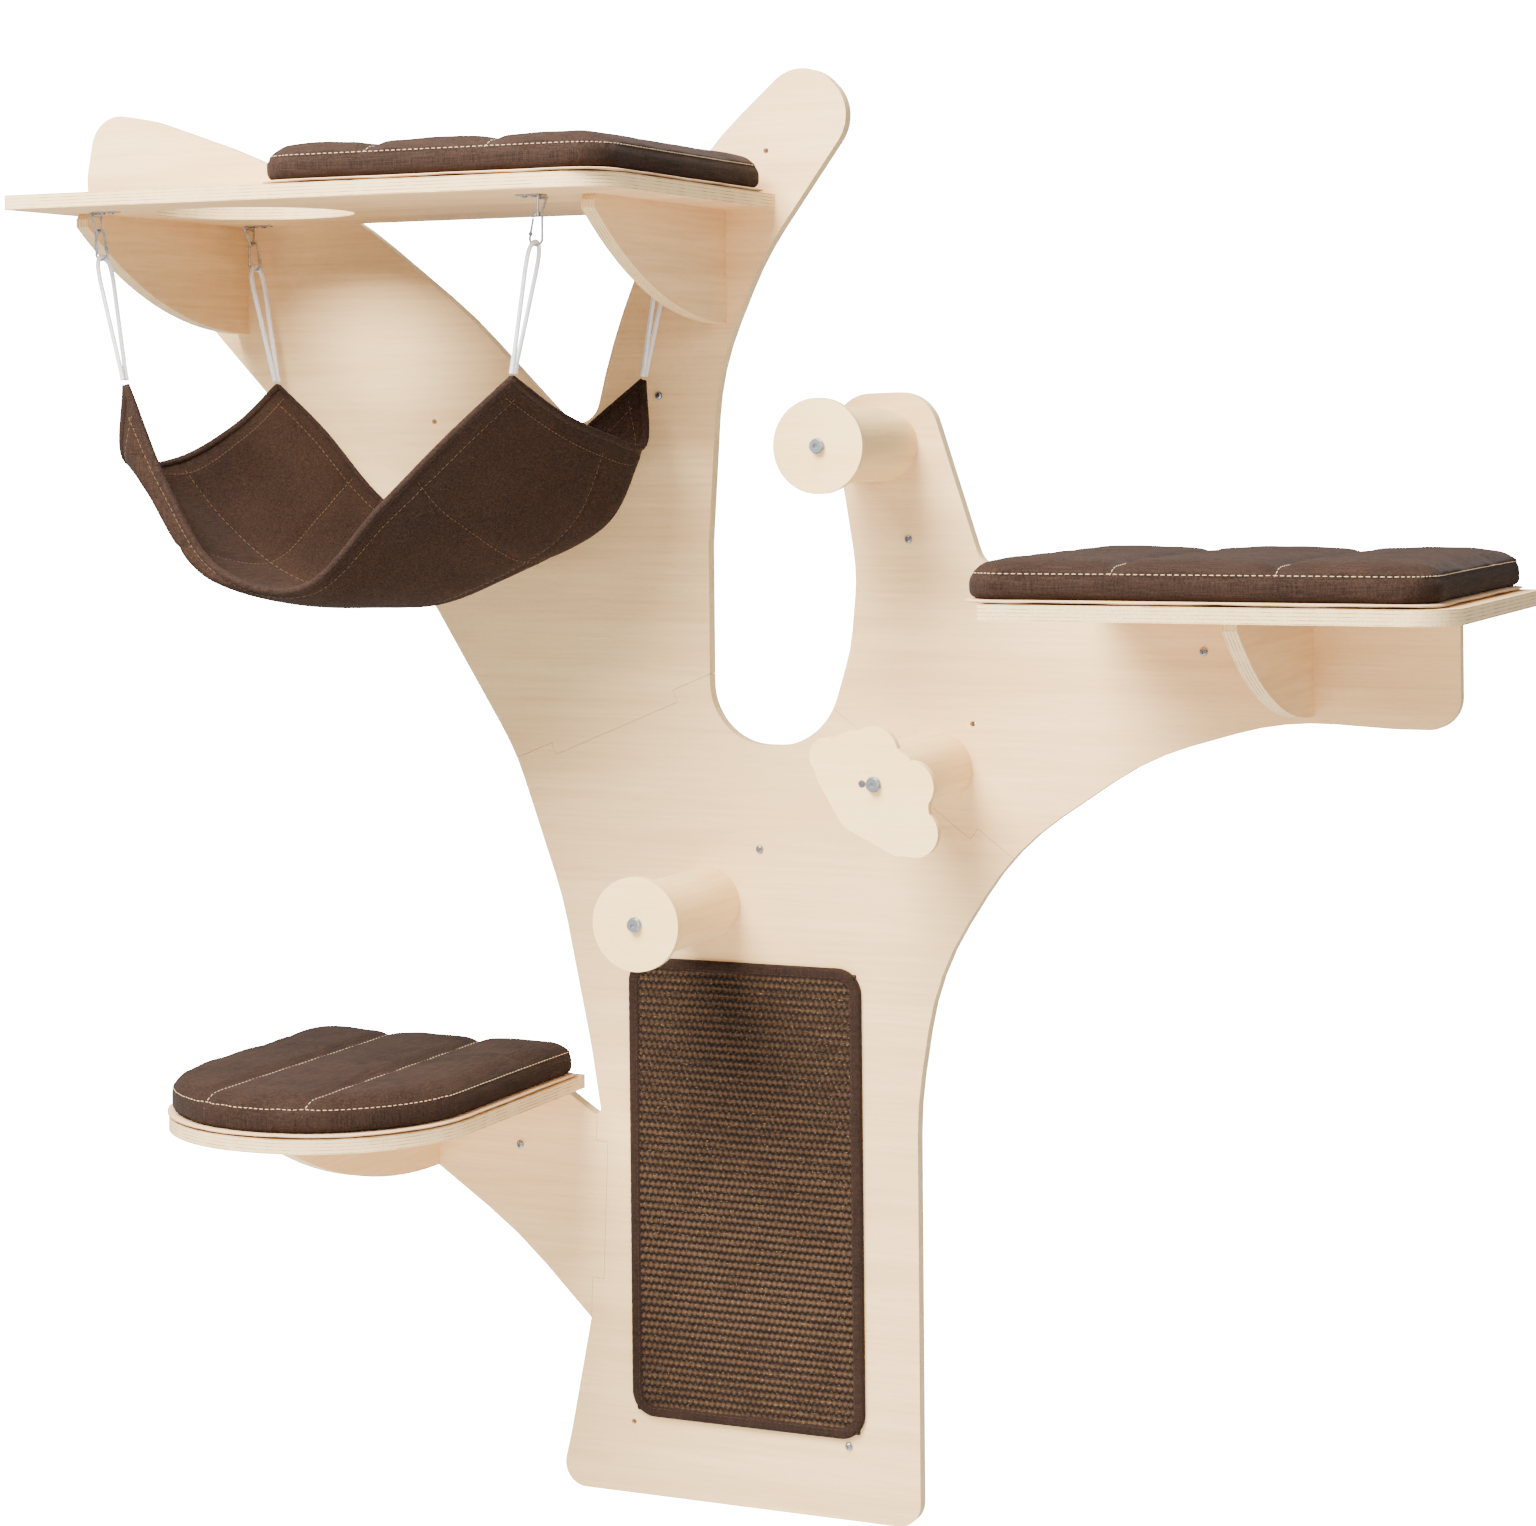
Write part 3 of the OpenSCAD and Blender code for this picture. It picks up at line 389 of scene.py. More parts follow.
def stitch_mesh(starts, ends, normals, radius):
    """Short rounded threads from starts to ends: three rings of six points each, lifted in the middle
    along the surface normal, with a point at both tips."""
    starts, ends, normals = (np.asarray(a, float) for a in (starts, ends, normals))
    way = ends - starts
    way /= np.linalg.norm(way, axis=1)[:, None] + 1e-12
    side = np.cross(way, normals)
    side /= np.linalg.norm(side, axis=1)[:, None] + 1e-12
    turn = np.linspace(0, 2 * math.pi, 6, endpoint=False)
    rings = []
    for share, size, lift in ((0.12, 0.7, 0.3), (0.5, 1.0, 0.8), (0.88, 0.7, 0.3)):
        middle = starts + (ends - starts) * share + normals * radius * lift
        rings.append(middle[:, None] + size * radius * (
            np.cos(turn)[None, :, None] * side[:, None] + np.sin(turn)[None, :, None] * normals[:, None]))
    sides = np.stack(rings, 1).reshape(len(starts), 18, 3)
    points = np.concatenate([sides, starts[:, None], ends[:, None]], 1)
    one = []
    for r in range(2):
        for k in range(6):
            n = (k + 1) % 6
            one.append([r * 6 + k, r * 6 + 6 + k, r * 6 + 6 + n, r * 6 + n])
    for k in range(6):
        n = (k + 1) % 6
        one += [[18, k, n], [19, 12 + n, 12 + k]]
    faces = [[v + 20 * i for v in f] for i in range(len(starts)) for f in one]
    return points.reshape(-1, 3), faces


def stitches_on(name, tree, lines, material, body, radius=0.00045):
    """One piece of stitches laid on a surface along lines of (point, direction to look along)."""
    pitch, length = settings().stitch_pitch, settings().stitch_length
    starts, ends, normals = [], [], []
    for points, looks in lines:
        points, looks = np.asarray(points, float), np.asarray(looks, float)
        gone = np.concatenate([[0], np.cumsum(np.linalg.norm(np.diff(points, axis=0), axis=1))])
        for s in np.arange(pitch / 2, gone[-1] - length, pitch):
            hits = []
            for at in (s, s + length):
                p = Vector([np.interp(at, gone, points[:, k]) for k in range(3)])
                d = Vector([np.interp(at, gone, looks[:, k]) for k in range(3)]).normalized()
                hits.append(tree.ray_cast(p - d * 0.06, d, 0.12))
            if hits[0][0] is None or hits[1][0] is None or (hits[0][0] - hits[1][0]).length > 2 * length:
                continue
            starts.append(hits[0][0])
            ends.append(hits[1][0])
            n = hits[0][1] + hits[1][1]
            normals.append(n.normalized())
    points, faces = stitch_mesh(starts, ends, normals, radius)
    return new_piece(name, points, faces, material, body)


def tree_of(obj):
    """Search tree of an object's finished surface."""
    graph = bpy.context.evaluated_depsgraph_get()
    return BVHTree.FromObject(obj, graph)


# ---- Cushions ----


def rounded_outline(low, high, front_radius, rear_radius, step=0.006):
    """Outline, anticlockwise from above, of a rectangle with two corner radii, as points and normals."""
    corners = [
        (high[0], high[1], rear_radius, 0), (low[0], high[1], rear_radius, 90),
        (low[0], low[1], front_radius, 180), (high[0], low[1], front_radius, 270),
    ]
    points = []
    for x, y, r, start in corners:
        cx = x - r if x == high[0] else x + r
        cy = y - r if y == high[1] else y + r
        for a in np.radians(np.linspace(start, start + 90, 13)):
            points.append((cx + r * math.cos(a), cy + r * math.sin(a)))
    p = np.array(points + points[:1])
    gone = np.concatenate([[0], np.cumsum(np.linalg.norm(np.diff(p, axis=0), axis=1))])
    count = int(round(gone[-1] / step))
    at = np.linspace(0, gone[-1], count, endpoint=False)
    p = np.stack([np.interp(at, gone, p[:, k]) for k in range(2)], 1)
    way = np.roll(p, -1, 0) - np.roll(p, 1, 0)
    normal = np.stack([way[:, 1], -way[:, 0]], 1)
    return p, normal / np.linalg.norm(normal, axis=1)[:, None]


def layered_form(outline, normals, profile, centre_steps=22):
    """Closed form from an outline. profile lists (inset, height) pairs from the top's rim down to the
    bottom's rim; each makes a ring moved inwards by its inset. Above the first ring and below the last,
    rings shrink evenly to the middle, so that both ends close in one point."""
    middle = outline.mean(0)
    rings = []
    first = outline - normals * profile[0][0]
    last = outline - normals * profile[-1][0]
    shares = np.linspace(0, 1, centre_steps + 1)[1:-1]
    for s in shares:
        rings.append(np.column_stack([middle + (first - middle) * s, np.full(len(first), profile[0][1])]))
    for inset, z in profile:
        rings.append(np.column_stack([outline - normals * inset, np.full(len(first), z)]))
    for s in shares[::-1]:
        rings.append(np.column_stack([middle + (last - middle) * s, np.full(len(first), profile[-1][1])]))
    n = len(first)
    points = np.vstack([[[*middle, profile[0][1]]]] + rings + [[[*middle, profile[-1][1]]]])
    faces = (grid_faces(len(rings), n, wrap=True)[:, ::-1] + 1).tolist()
    end, start = len(points) - 1, len(points) - 1 - n
    for k in range(n):
        m = (k + 1) % n
        faces += [[0, 1 + k, 1 + m], [end, start + m, start + k]]
    return points, faces


def coords_of(mesh):
    """All of a mesh's points as one array."""
    co = np.empty(len(mesh.vertices) * 3, np.float32)
    mesh.vertices.foreach_get("co", co)
    return co.reshape(-1, 3).astype(float)


def set_coords(mesh, points):
    """Write all of a mesh's points from one array."""
    mesh.vertices.foreach_set("co", np.asarray(points, np.float32).ravel())
    mesh.update()


def remesh(obj, voxel):
    """Replace the mesh with an even one."""
    step = obj.modifiers.new("even", "REMESH")
    step.mode = "VOXEL"
    step.voxel_size = voxel
    graph = bpy.context.evaluated_depsgraph_get()
    even = bpy.data.meshes.new_from_object(obj.evaluated_get(graph))
    obj.modifiers.clear()
    old = obj.data
    obj.data = even
    bpy.data.meshes.remove(old)


def puff(obj, cap):
    """Swell a closed even mesh with Cloth pressure for twenty frames; no point moves further than cap."""
    scene = bpy.context.scene
    before = coords_of(obj.data)
    step = obj.modifiers.new("stuffing", "CLOTH")
    step.settings.quality = 4
    step.settings.use_pressure = True
    step.settings.uniform_pressure_force = 4
    step.settings.effector_weights.gravity = 0
    step.point_cache.frame_start, step.point_cache.frame_end = 1, 20
    for number in range(1, 21):
        scene.frame_set(number)
    graph = bpy.context.evaluated_depsgraph_get()
    swollen = obj.evaluated_get(graph).to_mesh()
    moved = coords_of(swollen) - before
    obj.evaluated_get(graph).to_mesh_clear()
    obj.modifiers.clear()
    scene.frame_set(1)
    size = np.linalg.norm(moved, axis=1)[:, None]
    set_coords(obj.data, before + moved * np.minimum(1, cap / np.maximum(size, 1e-9)))


def make_cushion(node, body, board_top, radii, cloth_material, thread):
    """A crowned cover with a stitched seam round it and two sewn channels from front to rear.

    The cover starts as rings of the rounded outline: tucked in at its foot, fullest at the seam, rolled in
    to a flat top. Stuffing swells it. Then each point near a channel sinks by the channel's depth times
    exp(-(distance / width)^2), the middle of each bay rises as a cosine, and the seam is pulled in."""
    size = settings()
    low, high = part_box(node)
    rest, top, seam = low.z, high.z, board_top + size.seam_height
    outline, normals = rounded_outline(low, high, radii[0], radii[1])
    profile = [(0.030, top - 0.0095), (0.020, top - 0.0100), (0.012, top - 0.0115), (0.007, top - 0.0135),
               (0.0045, seam + 0.004), (0.0045, seam), (0.0040, seam - 0.004), (0.0040, seam - 0.009),
               (0.0042, rest + 0.004), (0.0055, rest + 0.0008), (0.012, rest)]
    points, faces = layered_form(outline, normals, profile)
    made = new_piece(node + "_cover", points, faces, cloth_material, body, [node])
    outwards(made)
    remesh(made, 0.005)
    puff(made, size.swell)
    p = coords_of(made.data)
    middle, half = (np.array(low[:2]) + np.array(high[:2])) / 2, (np.array(high[:2]) - np.array(low[:2])) / 2
    across = (p[:, 0] - low.x) / (high.x - low.x) * 3
    off = np.minimum(np.abs(across - 1), np.abs(across - 2)) * (high.x - low.x) / 3
    inside = np.minimum(1, (1 - np.max(np.abs(p[:, :2] - middle) / half, axis=1)) / 0.22).clip(0, 1)
    rise = np.clip((p[:, 2] - seam) / (top - 0.010 - seam), 0, 1)
    bay = 0.5 - 0.5 * np.cos(2 * np.pi * across)
    creases = (np.sin(p[:, 1] * 95 + 3 * np.sin(p[:, 0] * 31)) * np.sin(p[:, 0] * 57 + 2)) * 0.0006
    swell_top = (0.0022 * bay + 0.0030) * np.sqrt(inside) + creases
    dip = size.channel_depth * np.exp(-((off / 0.009) ** 2)) * (0.45 + 0.55 * inside)
    p[:, 2] += rise * (swell_top - dip)
    near_seam = np.exp(-(((p[:, 2] - seam) / 0.0026) ** 2))
    outward = (p[:, :2] - middle) / half
    outward /= np.linalg.norm(outward, axis=1)[:, None] + 1e-9
    rim = np.clip((np.max(np.abs(p[:, :2] - middle) / half, axis=1) - 0.85) / 0.1, 0, 1)
    p[:, :2] -= outward * (near_seam * rim * 0.0022)[:, None]
    for corner in np.flatnonzero(np.abs(np.abs(normals[:, 0]) - math.sqrt(0.5)) < 0.03):
        if normals[corner, 1] < 0 and radii[0] < 0.1:
            gap = np.linalg.norm(p[:, :2] - outline[corner], axis=1)
            below = np.clip((seam - p[:, 2]) / 0.003, 0, 1)
            p[:, :2] -= normals[corner] * (0.0016 * below * np.exp(-((gap / 0.006) ** 2)))[:, None]
    p[:, 2] = np.clip(p[:, 2], rest, top + 0.004)
    for k in range(2):
        p[:, k] = np.clip(p[:, k], low[k] - 0.004, high[k] + (0.004 if k == 0 else 0.0))
    set_coords(made.data, p)
    made.data.polygons.foreach_set("use_smooth", [True] * len(made.data.polygons))
    finer = made.modifiers.new("finer", "SUBSURF")
    finer.levels = finer.render_levels = 1
    surface = tree_of(made)
    ring = np.column_stack([outline, np.full(len(outline), seam + 0.0014)])
    ring = np.vstack([ring, ring[:1]])
    looks = np.column_stack([-normals, np.zeros(len(normals))])
    looks = np.vstack([looks, looks[:1]])
    lines = [(ring, looks)]
    for third in (1, 2):
        x = low.x + (high.x - low.x) * third / 3
        y = np.linspace(low.y + 0.010, high.y - 0.010, 60)
        line = np.column_stack([np.full(60, x), y, np.full(60, top)])
        lines.append((line, np.tile([0.0, 0.0, -1.0], (60, 1))))
    sewn = stitches_on(node + "_stitches", surface, lines, thread, body)
    return made, sewn


def make_pad(node, body, radii, material):
    """The underside: a thin layer whose rim and foot wave by two sines along the outline."""
    low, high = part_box(node)
    outline, normals = rounded_outline(low, high, radii[0], radii[1], 0.004)
    profile = [(0.010, high.z), (0.003, high.z - 0.0005), (0.0, high.z - 0.002), (0.0, low.z + 0.002),
               (0.003, low.z + 0.0006), (0.012, low.z + 0.0004)]
    points, faces = layered_form(outline, normals, profile, 16)
    count = len(outline)
    gone = np.arange(count) / count * 2 * np.pi
    wave = 0.7 * np.sin(gone * 11) + 0.3 * np.sin(gone * 29 + 1)
    level = np.concatenate([[0], np.tile(wave, (len(points) - 2) // count), [0]])
    depth = np.clip((high.z - points[:, 2]) / (high.z - low.z), 0, 1)
    middle = points[0, :2]
    reach = np.linalg.norm(points[:, :2] - middle, axis=1)
    points[:, 2] += depth * (0.5 + 0.5 * level) * 0.0016
    points[:, :2] += (points[:, :2] - middle) / (reach[:, None] + 1e-9) * (depth * level * 0.0012)[:, None]
    made = new_piece(node + "_quilt", points, faces, material, body, [node])
    outwards(made)
    return made


# ---- Hammock ----


# Rows from the front hem to the rear hem, each from left to right, in millimetres:
# right of the middle, behind the middle, below the corners
CLOTH_NET = (
    ((-230, -150, 0), (-176, -154, 112), (-113, -156, 195), (-11, -154, 211),
     (79, -150, 128), (157, -150, 59), (230, -150, 0)),
    ((-238, -138, 78), (-200, -148, 112), (-124, -144, 205), (-1, -104, 226),
     (89, -94, 176), (181, -84, 100), (238, -62, 36)),
    ((-223, -66, 81), (-183, -34, 148), (-103, -9, 214), (11, 6, 236),
     (107, 16, 212), (202, 31, 150), (246, 31, 60)),
    ((-217, 40, 46), (-176, 66, 101), (-103, 81, 171), (4, 86, 221),
     (114, 96, 186), (211, 101, 140), (246, 116, 68)),
    ((-230, 150, 0), (-171, 150, 52), (-99, 150, 128), (-11, 150, 184),
     (71, 150, 134), (151, 150, 61), (230, 150, 0)),
)
# The net's middle, in metres, and half the cloth's thickness under its corners' tops
CLOTH_MIDDLE = (-0.329, -0.196)
HALF_CLOTH = 0.0025
# Seams across the cloth and along it, as shares of its width and its depth
SEAMS_U = (0.27, 0.74)
SEAMS_V = (0.5,)


def spans(count, t):
    """Weights of Catmull-Rom's curve at t, from 0 to 1, on each of its count knots."""
    place = np.clip(t, 0, 1) * (count - 1)
    i = np.minimum(np.floor(place).astype(int), count - 2)
    s = (place - i)[..., None]
    four = np.concatenate([-s + 2 * s**2 - s**3, 2 - 5 * s**2 + 3 * s**3,
                           s + 4 * s**2 - 3 * s**3, s**3 - s**2], -1) / 2
    weights = np.zeros(np.shape(t) + (count + 2,))
    for k in range(4):
        np.put_along_axis(weights, (i + k)[..., None], four[..., k : k + 1], -1)
    weights[..., 1] += 2 * weights[..., 0]
    weights[..., 2] -= weights[..., 0]
    weights[..., -2] += 2 * weights[..., -1]
    weights[..., -3] -= weights[..., -1]
    return weights[..., 1:-1]


def hammock_surface(u, v):
    """Middle of the hammock's cloth at u across and v from front to rear, both from 0 to 1.

    It is the smooth surface through the net: Catmull-Rom curves along the rows, and across them.
    Small folds are added: a product of two sines that fades to nothing at the hems."""
    corner_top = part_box("hammock")[1].z
    middle = np.array([*CLOTH_MIDDLE, corner_top - HALF_CLOTH])
    net = middle + np.array(CLOTH_NET, float) * MM * [1, 1, -1]
    rows = np.einsum("...j,jik->...ik", spans(5, v), net)
    place = np.einsum("...i,...ik->...k", spans(7, u), rows)
    inner = np.clip(np.minimum(np.minimum(u, 1 - u), np.minimum(v, 1 - v)) / 0.12, 0, 1)
    fold = np.sin(17 * u + 9 * v) * np.sin(11 * v - 5 * u + 1) * 0.0022 * inner
    place[..., 2] += fold
    return place


def make_hammock(material, thread, hem_material):
    """Padded cloth of two skins with sewn seams across and along it, and rolled hems."""
    size = settings()
    columns, rows = 113, 73
    u, v = np.meshgrid(np.linspace(0, 1, columns), np.linspace(0, 1, rows), indexing="ij")
    skin = hammock_surface(u, v)
    du, dv = np.gradient(skin, axis=0), np.gradient(skin, axis=1)
    normal = np.cross(du, dv)
    normal /= np.linalg.norm(normal, axis=-1)[..., None]
    seam = np.max([np.exp(-(((u - s) * 0.66 / 0.004) ** 2)) for s in SEAMS_U]
                  + [np.exp(-(((v - s) * 0.36 / 0.004) ** 2)) for s in SEAMS_V], axis=0)
    plump = np.minimum(1, np.minimum(np.minimum(u, 1 - u), np.minimum(v, 1 - v)) / 0.04)
    thickness = 0.0012 + 0.0022 * (1 - 0.8 * seam) * plump
    upper, under = skin + normal * thickness[..., None], skin - normal * thickness[..., None]
    points = np.vstack([upper.reshape(-1, 3), under.reshape(-1, 3)])
    faces = grid_faces(columns, rows)
    layer = columns * rows
    rim = np.concatenate([np.arange(columns) * rows, (columns - 1) * rows + np.arange(1, rows),
                          np.arange(columns - 2, -1, -1) * rows + rows - 1, np.arange(rows - 2, 0, -1)])
    follow = np.roll(rim, -1)
    walls = np.stack([rim, rim + layer, follow + layer, follow], 1)
    made = new_piece("hammock_cloth", points, np.vstack([faces, faces[:, ::-1] + layer, walls]), material,
                     "hammock_body", ["hammock"])
    outwards(made)
    surface = tree_of(made)
    edges = [np.stack([np.linspace(0, 1, 90), np.full(90, s)], 1) for s in (0, 1)]
    edges += [np.stack([np.full(60, s), np.linspace(0, 1, 60)], 1) for s in (0, 1)]
    hem_points, hem_faces = [], []
    for line in edges:
        route, _ = smooth_route(hammock_surface(line[:, 0], line[:, 1]), 0.006)
        p, f = tube(route, size.hem_radius, 12, (0.31, 0.37, 1.0))
        hem_faces += [[i + len(hem_points) for i in face] for face in f]
        hem_points += p.tolist()
    hem = new_piece("hammock_hems", hem_points, hem_faces, hem_material, "hammock_body")
    outwards(hem)
    lines = []
    t = np.linspace(0.02, 0.98, 120)
    across = [(np.full(120, s), t) for s in SEAMS_U + (0.035, 0.965)]
    along = [(t, np.full(120, s)) for s in SEAMS_V + (0.06, 0.94)]
    for at_u, at_v in across + along:
        line = hammock_surface(at_u, at_v)
        step = 0.004
        face = np.cross(hammock_surface(at_u + step, at_v) - hammock_surface(at_u - step, at_v),
                        hammock_surface(at_u, at_v + step) - hammock_surface(at_u, at_v - step))
        lines += [(line, face), (line, -face)]
    sewn = stitches_on("hammock_stitches", surface, lines, thread, "hammock_body", 0.0003)
    return made


# ---- Ropes ----


def make_rope(end, side, material):
    """A braided loop: a tube along the smooth curve through the sling's route, its radius a product
    of two opposed spirals, r (1 + 0.05 sin(6 a + k s) sin(6 a - k s)), for angle a and distance s."""
    size = settings()
    body = f"sling_{end}_{side}"
    lean = math.radians(11.5)
    sign = 1 if side == "left" else -1
    radius = size.rope_diameter / 2
    hanger = np.array([-0.595 if side == "left" else -0.063, -0.346 if end == "front" else -0.046, 1.0582])
    half = [(4, -134), (4, -124), (5, -112), (6, -100), (7, -88), (8, -76), (9, -64), (10, -52), (11, -40),
            (12, -28), (12, -18), (11, -10), (8, -4), (4, -1)]
    loop = half + [(0, 0)] + [(-a, b) for a, b in half[::-1]]
    route = []
    for out, up in loop:
        x, z = -1.0 * MM, (-45.15 + up) * MM
        route.append(hanger + np.array([sign * (x * math.cos(lean) - z * math.sin(lean)), out * MM,
                                        x * math.sin(lean) + z * math.cos(lean)]))
    path, length = smooth_route(route, 0.001)
    sides = 24
    turn = np.linspace(0, 2 * math.pi, sides, endpoint=False)[None]
    along = np.linspace(0, length, len(path))[:, None] * math.pi * 6 / 0.009
    relief = 1 + 0.05 * np.sin(6 * turn + along) * np.sin(6 * turn - along)
    points, faces = tube(path, radius * 0.97 * relief, sides, (1.0, 0.02, 0.01))
    made = new_piece(f"cord_{end}_{side}", points, faces, material, body, [f"rope_{end}_{side}"])
    uv = made.data.uv_layers.new(name="UVMap")
    corner = np.empty(len(made.data.loops), np.int32)
    made.data.loops.foreach_get("vertex_index", corner)
    ring = np.minimum(corner // sides, len(path) - 1)
    pair = np.stack([corner % sides / sides, ring / (len(path) - 1) * length], 1)
    uv.data.foreach_set("uv", pair.astype(np.float32).ravel())
    return made


# ---- Mat ----


def make_mat(material):
    """Ribbed mat: the front rises by |sin| of the height over each rib's pitch, each rib waving a little."""
    size = settings()
    low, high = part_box("scratch_mat")
    ribs = int((high.z - low.z) / size.rib_pitch)
    rows, columns = ribs * 8 + 1, 66
    x, z = np.meshgrid(np.linspace(low.x, high.x, columns), np.linspace(low.z, high.z, rows), indexing="xy")
    phase = (z - low.z) / (high.z - low.z) * ribs
    wander = 0.06 * np.sin(x * 60 + phase * 0.7) + 0.05 * np.sin(x * 21 + phase * 2.1)
    rib = np.abs(np.sin(np.pi * (phase + wander)))
    y = low.y + 0.0022 * (1 - rib**0.7)
    front = np.stack([x, y, z], -1).reshape(-1, 3)
    back = np.stack([x, np.full_like(x, high.y), z], -1).reshape(-1, 3)
    faces = grid_faces(rows, columns)
    layer = rows * columns
    rim = np.concatenate([np.arange(columns), np.arange(1, rows) * columns + columns - 1,
                          (rows - 1) * columns + np.arange(columns - 2, -1, -1),
                          np.arange(rows - 2, 0, -1) * columns])
    follow = np.roll(rim, -1)
    walls = np.stack([rim, rim + layer, follow + layer, follow], 1)
    made = new_piece("mat_weave", np.vstack([front, back]), np.vstack([faces, faces[:, ::-1] + layer, walls]),
                     material, "wall_tree", ["scratch_mat"])
    outwards(made)
    return made


def make_binding(material, thread):
    """Folded cloth edge round the mat: a strip with a rounded section swept round its outline, puckered by
    a small sine along it, and one line of stitches near its inner edge."""
    low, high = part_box("mat_binding")
    outline, normals = rounded_outline((low.x, low.z), (high.x, high.z), 0.027, 0.027, 0.003)
    width, depth = 0.013, high.y - low.y
    section = [(0.0, 0.0), (0.0, 0.6), (0.0012, 0.85), (0.004, 1.0), (0.009, 1.0), (0.0115, 0.88),
               (width, 0.5), (width, 0.0)]
    count = len(outline)
    pucker = np.sin(np.arange(count) / count * 2 * np.pi * round(count * 0.003 / 0.011)) * 0.0004
    rings = []
    for inset, share in section:
        at = outline - normals * inset
        out = high.y - depth * share * 0.97 - pucker * share
        rings.append(np.stack([at[:, 0], out, at[:, 1]], 1))
    points = np.vstack(rings)
    n = len(section)
    faces = [[i * count + k, i * count + (k + 1) % count,
              (i + 1) % n * count + (k + 1) % count, (i + 1) % n * count + k]
             for i in range(n) for k in range(count)]
    made = new_piece("mat_edge", points, faces, material, "wall_tree", ["mat_binding"])
    outwards(made)
    at = outline - normals * 0.0098
    ring = np.stack([at[:, 0], np.full(count, low.y), at[:, 1]], 1)
    ring = np.vstack([ring, ring[:1]])
    looks = np.tile([0.0, 1.0, 0.0], (len(ring), 1))
    stitches_on("mat_edge_stitches", tree_of(made), [(ring, looks)], thread, "wall_tree", 0.0004)
    return made


# ---- Operators ----


class CATTREE_OT_stage(bpy.types.Operator):
    """Camera at the photographed view, a pale floor and soft studio light"""

    bl_idname = "cat_tree.stage"
    bl_label = "Stage"

    def execute(self, context):
        scene = context.scene
        yaw, roll = math.radians(23.75), math.radians(-0.56)
        forward = Vector((-math.sin(yaw), math.cos(yaw), 0))
        right, up = Vector((math.cos(yaw), math.sin(yaw), 0)), Vector((0, 0, 1))
        side = right * math.cos(roll) + up * math.sin(roll)
        top = up * math.cos(roll) - right * math.sin(roll)
        turn = Matrix((side, top, -forward)).transposed().to_4x4()
        lens = bpy.data.cameras.new("view")
        lens.lens, lens.sensor_width, lens.shift_y = 80.45, 36, -0.219
        lens.clip_end = 50
        camera = bpy.data.objects.new("view", lens)
        camera.matrix_world = Matrix.Translation((1.5178, -3.386, 0.827)) @ turn
        scene.collection.objects.link(camera)
        scene.camera = camera
        world = bpy.data.worlds.new("studio")
        world.use_nodes = True
        tree = world.node_tree
        tree.nodes.clear()
        soft_light, plain_backdrop = 0.7, 24
        seen = add(tree, "ShaderNodeLightPath").outputs["Is Camera Ray"]
        soft = add(tree, "ShaderNodeBackground", {"Color": linear("#FFFFFF"), "Strength": soft_light})
        clear = add(tree, "ShaderNodeBackground", {"Color": linear("#FFFFFF"), "Strength": plain_backdrop})
        both = add(tree, "ShaderNodeMixShader", {0: seen, 1: soft.outputs[0], 2: clear.outputs[0]})
        add(tree, "ShaderNodeOutputWorld", {0: both.outputs[0]})
        scene.world = world
        mesh = bpy.data.meshes.new("floor")
        left, right_end, near, far, level = -1.6, 1.6, -2.5, 0.0, -0.62
        corners = [(left, near, level), (right_end, near, level), (right_end, far, level), (left, far, level)]
        mesh.from_pydata(corners, [], [(0, 1, 2, 3)])
        floor = bpy.data.objects.new("floor", mesh)
        pale, tree, coords = new_material("pale_floor")
        grain = noise(tree, coords.outputs["Object"], [per(400)] * 3)
        finish_material(tree, mixed(tree, grain, linear("#EDEDED"), linear("#F4F4F4")), 0.9)
        mesh.materials.append(pale)
        scene.collection.objects.link(floor)
        for name, place, energy, size in (
            ("key", (-0.8, -2.6, 3.3), 700, 2.0),
            ("overhead", (0.1, -0.8, 3.4), 110, 1.0),
            ("fill", (2.4, -3.4, 1.2), 50, 2.6),
        ):
            light = bpy.data.lights.new(name, "AREA")
            light.energy, light.size = energy, size
            lamp = bpy.data.objects.new(name, light)
            lamp.location = place
            lamp.rotation_euler = (Vector((0, -0.2, 0.5)) - Vector(place)).to_track_quat("-Z", "Y").to_euler()
            scene.collection.objects.link(lamp)
        return {"FINISHED"}


class CATTREE_OT_ropes(bpy.types.Operator):
    """Four braided rope loops that hang the hammock"""

    bl_idname = "cat_tree.ropes"
    bl_label = "Ropes"

    def execute(self, context):
        white = braid("white_braid")
        for end, side in ENDS:
            make_rope(end, side, white)
        return {"FINISHED"}


class CATTREE_OT_wood(bpy.types.Operator):
    """Birch plywood and turned birch on the boards, brackets, caps and pegs"""

    bl_idname = "cat_tree.wood"
    bl_label = "Wood"

    def execute(self, context):
        panels = ["trunk_panel", "upper_panel", "right_panel", "left_panel"]
        paint(panels, plywood("birch_panels", thick=1, grain=0))
        paint(["top_shelf", "right_shelf", "left_shelf"], plywood("birch_shelves", thick=2, grain=0))
        paint(["top_bracket_left", "top_bracket_right", "right_bracket", "left_bracket"],
              plywood("birch_brackets", thick=0, grain=1))
        paint(["cap_high", "cap_cloud", "cap_low"],
              plywood("birch_caps", thick=1, grain=0, light="#FFDC96", dark="#F2C47C", ply_mm=1.5))
        paint(["peg_high", "peg_middle", "peg_low"], turned_wood("turned_birch"))
        return {"FINISHED"}


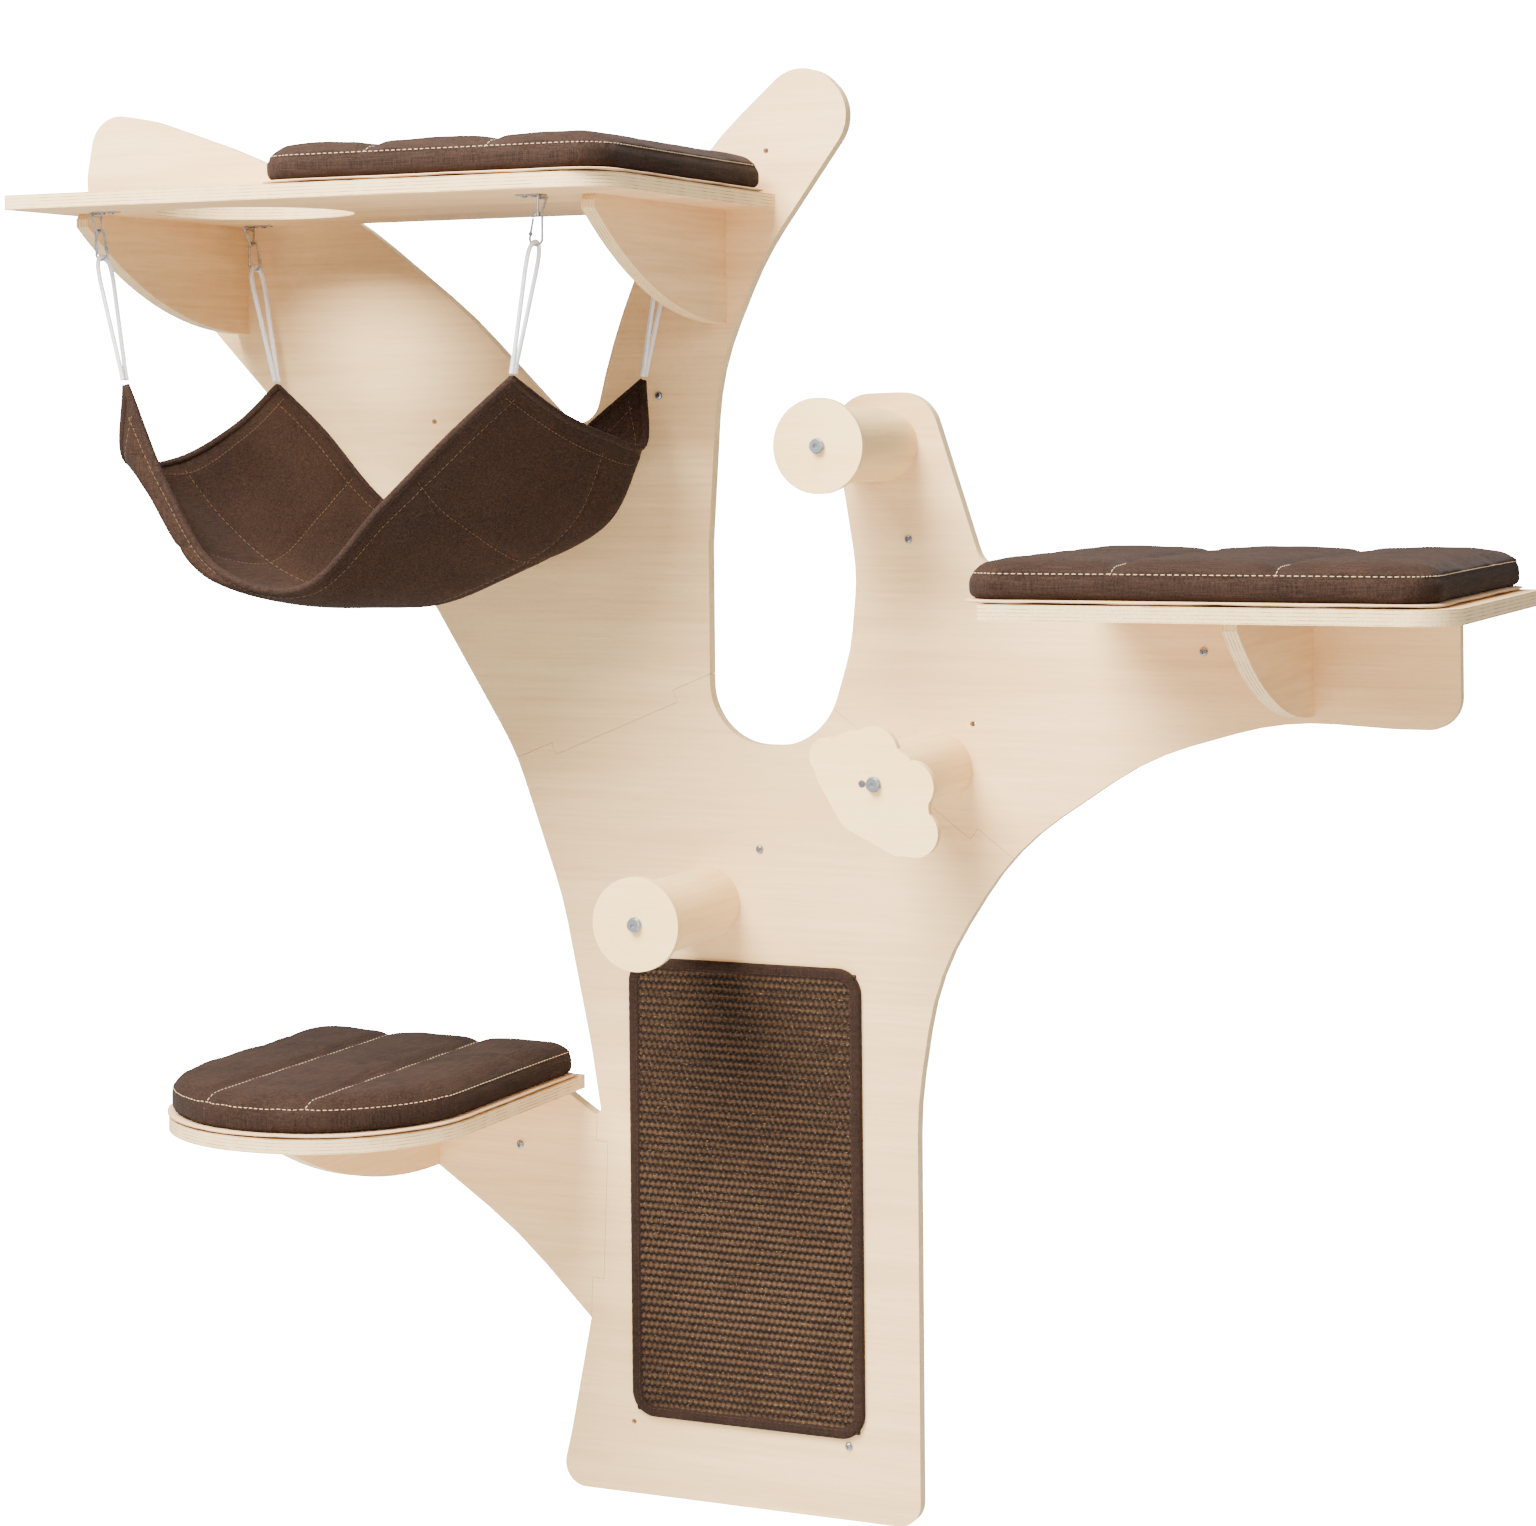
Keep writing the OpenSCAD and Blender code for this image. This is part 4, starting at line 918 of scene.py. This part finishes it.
class CATTREE_OT_hardware(bpy.types.Operator):
    """Zinc-plated steel on the screws, bolts, washers, hangers, rings, hooks and gates"""

    bl_idname = "cat_tree.hardware"
    bl_label = "Hardware"

    def execute(self, context):
        screws = ["wall_screws", "shelf_edge_screws", "bracket_screws", "shelf_top_screws", "cloud_screw",
                  "hanger_screws"]
        paint(screws, zinc("blue_zinc"))
        paint(["peg_bolts", "peg_washers", "tee_nuts"], zinc("bright_zinc", "#C9CBCE", "#A5A8AD", 0.26))
        wire = [f"{k}_{f}_{s}" for k in ("hanger", "ring", "snap", "gate") for f, s in ENDS]
        paint(wire, zinc("wire_zinc", "#C4C6CA", "#9DA1A8", 0.22))
        return {"FINISHED"}


class CATTREE_OT_cushions(bpy.types.Operator):
    """Three stitched cushions with quilted undersides"""

    bl_idname = "cat_tree.cushions"
    bl_label = "Cushions"

    def execute(self, context):
        brown = cloth("brown_linen", "#39271D", "#150D08", 0.9)
        thread = cloth("beige_thread", "#D8BE9B", "#B4966F", 0.4, 4, 0.1)
        beige = cloth("beige_quilt", "#E0BC92", "#BE9468", 0.8)
        for name, radii in (("top", (0.050, 0.030)), ("right", (0.040, 0.018)), ("left", (0.168, 0.018))):
            board_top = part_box(name + "_shelf")[1].z
            body = name + "_cushion_body"
            make_cushion(name + "_cushion", body, board_top, radii, brown, thread)
            make_pad(name + "_cushion_pad", body, (radii[0] - 0.005, radii[1] - 0.005), beige)
        return {"FINISHED"}


class CATTREE_OT_hammock(bpy.types.Operator):
    """The padded hammock with its seams and rolled hems"""

    bl_idname = "cat_tree.hammock"
    bl_label = "Hammock"

    def execute(self, context):
        brown = cloth("hammock_weave", "#38261B", "#170E09", 1.1)
        hem = cloth("hammock_hem", "#38271E", "#190F0A", 1.0)
        thread = cloth("hammock_thread", "#8A6C4E", "#4C3524", 0.4, 4, 0.1)
        make_hammock(brown, thread, hem)
        return {"FINISHED"}


class CATTREE_OT_mat(bpy.types.Operator):
    """The sisal scratching mat and its bound edge"""

    bl_idname = "cat_tree.mat"
    bl_label = "Mat"

    def execute(self, context):
        make_mat(sisal("brown_sisal", settings().rib_pitch / MM, 6.5))
        brown_tape = cloth("binding_cloth", "#33231A", "#170E09", 0.7)
        dark_thread = cloth("binding_thread", "#4A3426", "#2C1C13", 0.4, 4, 0.1)
        make_binding(brown_tape, dark_thread)
        return {"FINISHED"}


class CATTREE_PT_panel(bpy.types.Panel):
    """Sizes and pieces of the cat tree"""

    bl_label = "Cat Tree"
    bl_space_type = "VIEW_3D"
    bl_region_type = "UI"
    bl_category = "Cat Tree"

    def draw(self, context):
        for name in CatTreeSettings.__annotations__:
            self.layout.prop(context.scene.cat_tree, name)
        for kind in OPERATORS:
            self.layout.operator(kind.bl_idname)


OPERATORS = (CATTREE_OT_stage, CATTREE_OT_ropes, CATTREE_OT_wood, CATTREE_OT_hardware,
             CATTREE_OT_cushions, CATTREE_OT_hammock, CATTREE_OT_mat)


def register():
    for kind in (CatTreeSettings, *OPERATORS, CATTREE_PT_panel):
        bpy.utils.register_class(kind)
    bpy.types.Scene.cat_tree = bpy.props.PointerProperty(type=CatTreeSettings)


def unregister():
    del bpy.types.Scene.cat_tree
    for kind in (CATTREE_PT_panel, *reversed(OPERATORS), CatTreeSettings):
        bpy.utils.unregister_class(kind)


def main():
    register()
    bpy.ops.cat_tree.stage()
    bpy.ops.cat_tree.ropes()
    bpy.ops.cat_tree.wood()
    bpy.ops.cat_tree.hardware()
    bpy.ops.cat_tree.cushions()
    bpy.ops.cat_tree.hammock()
    bpy.ops.cat_tree.mat()


if __name__ == "__main__":
    main()
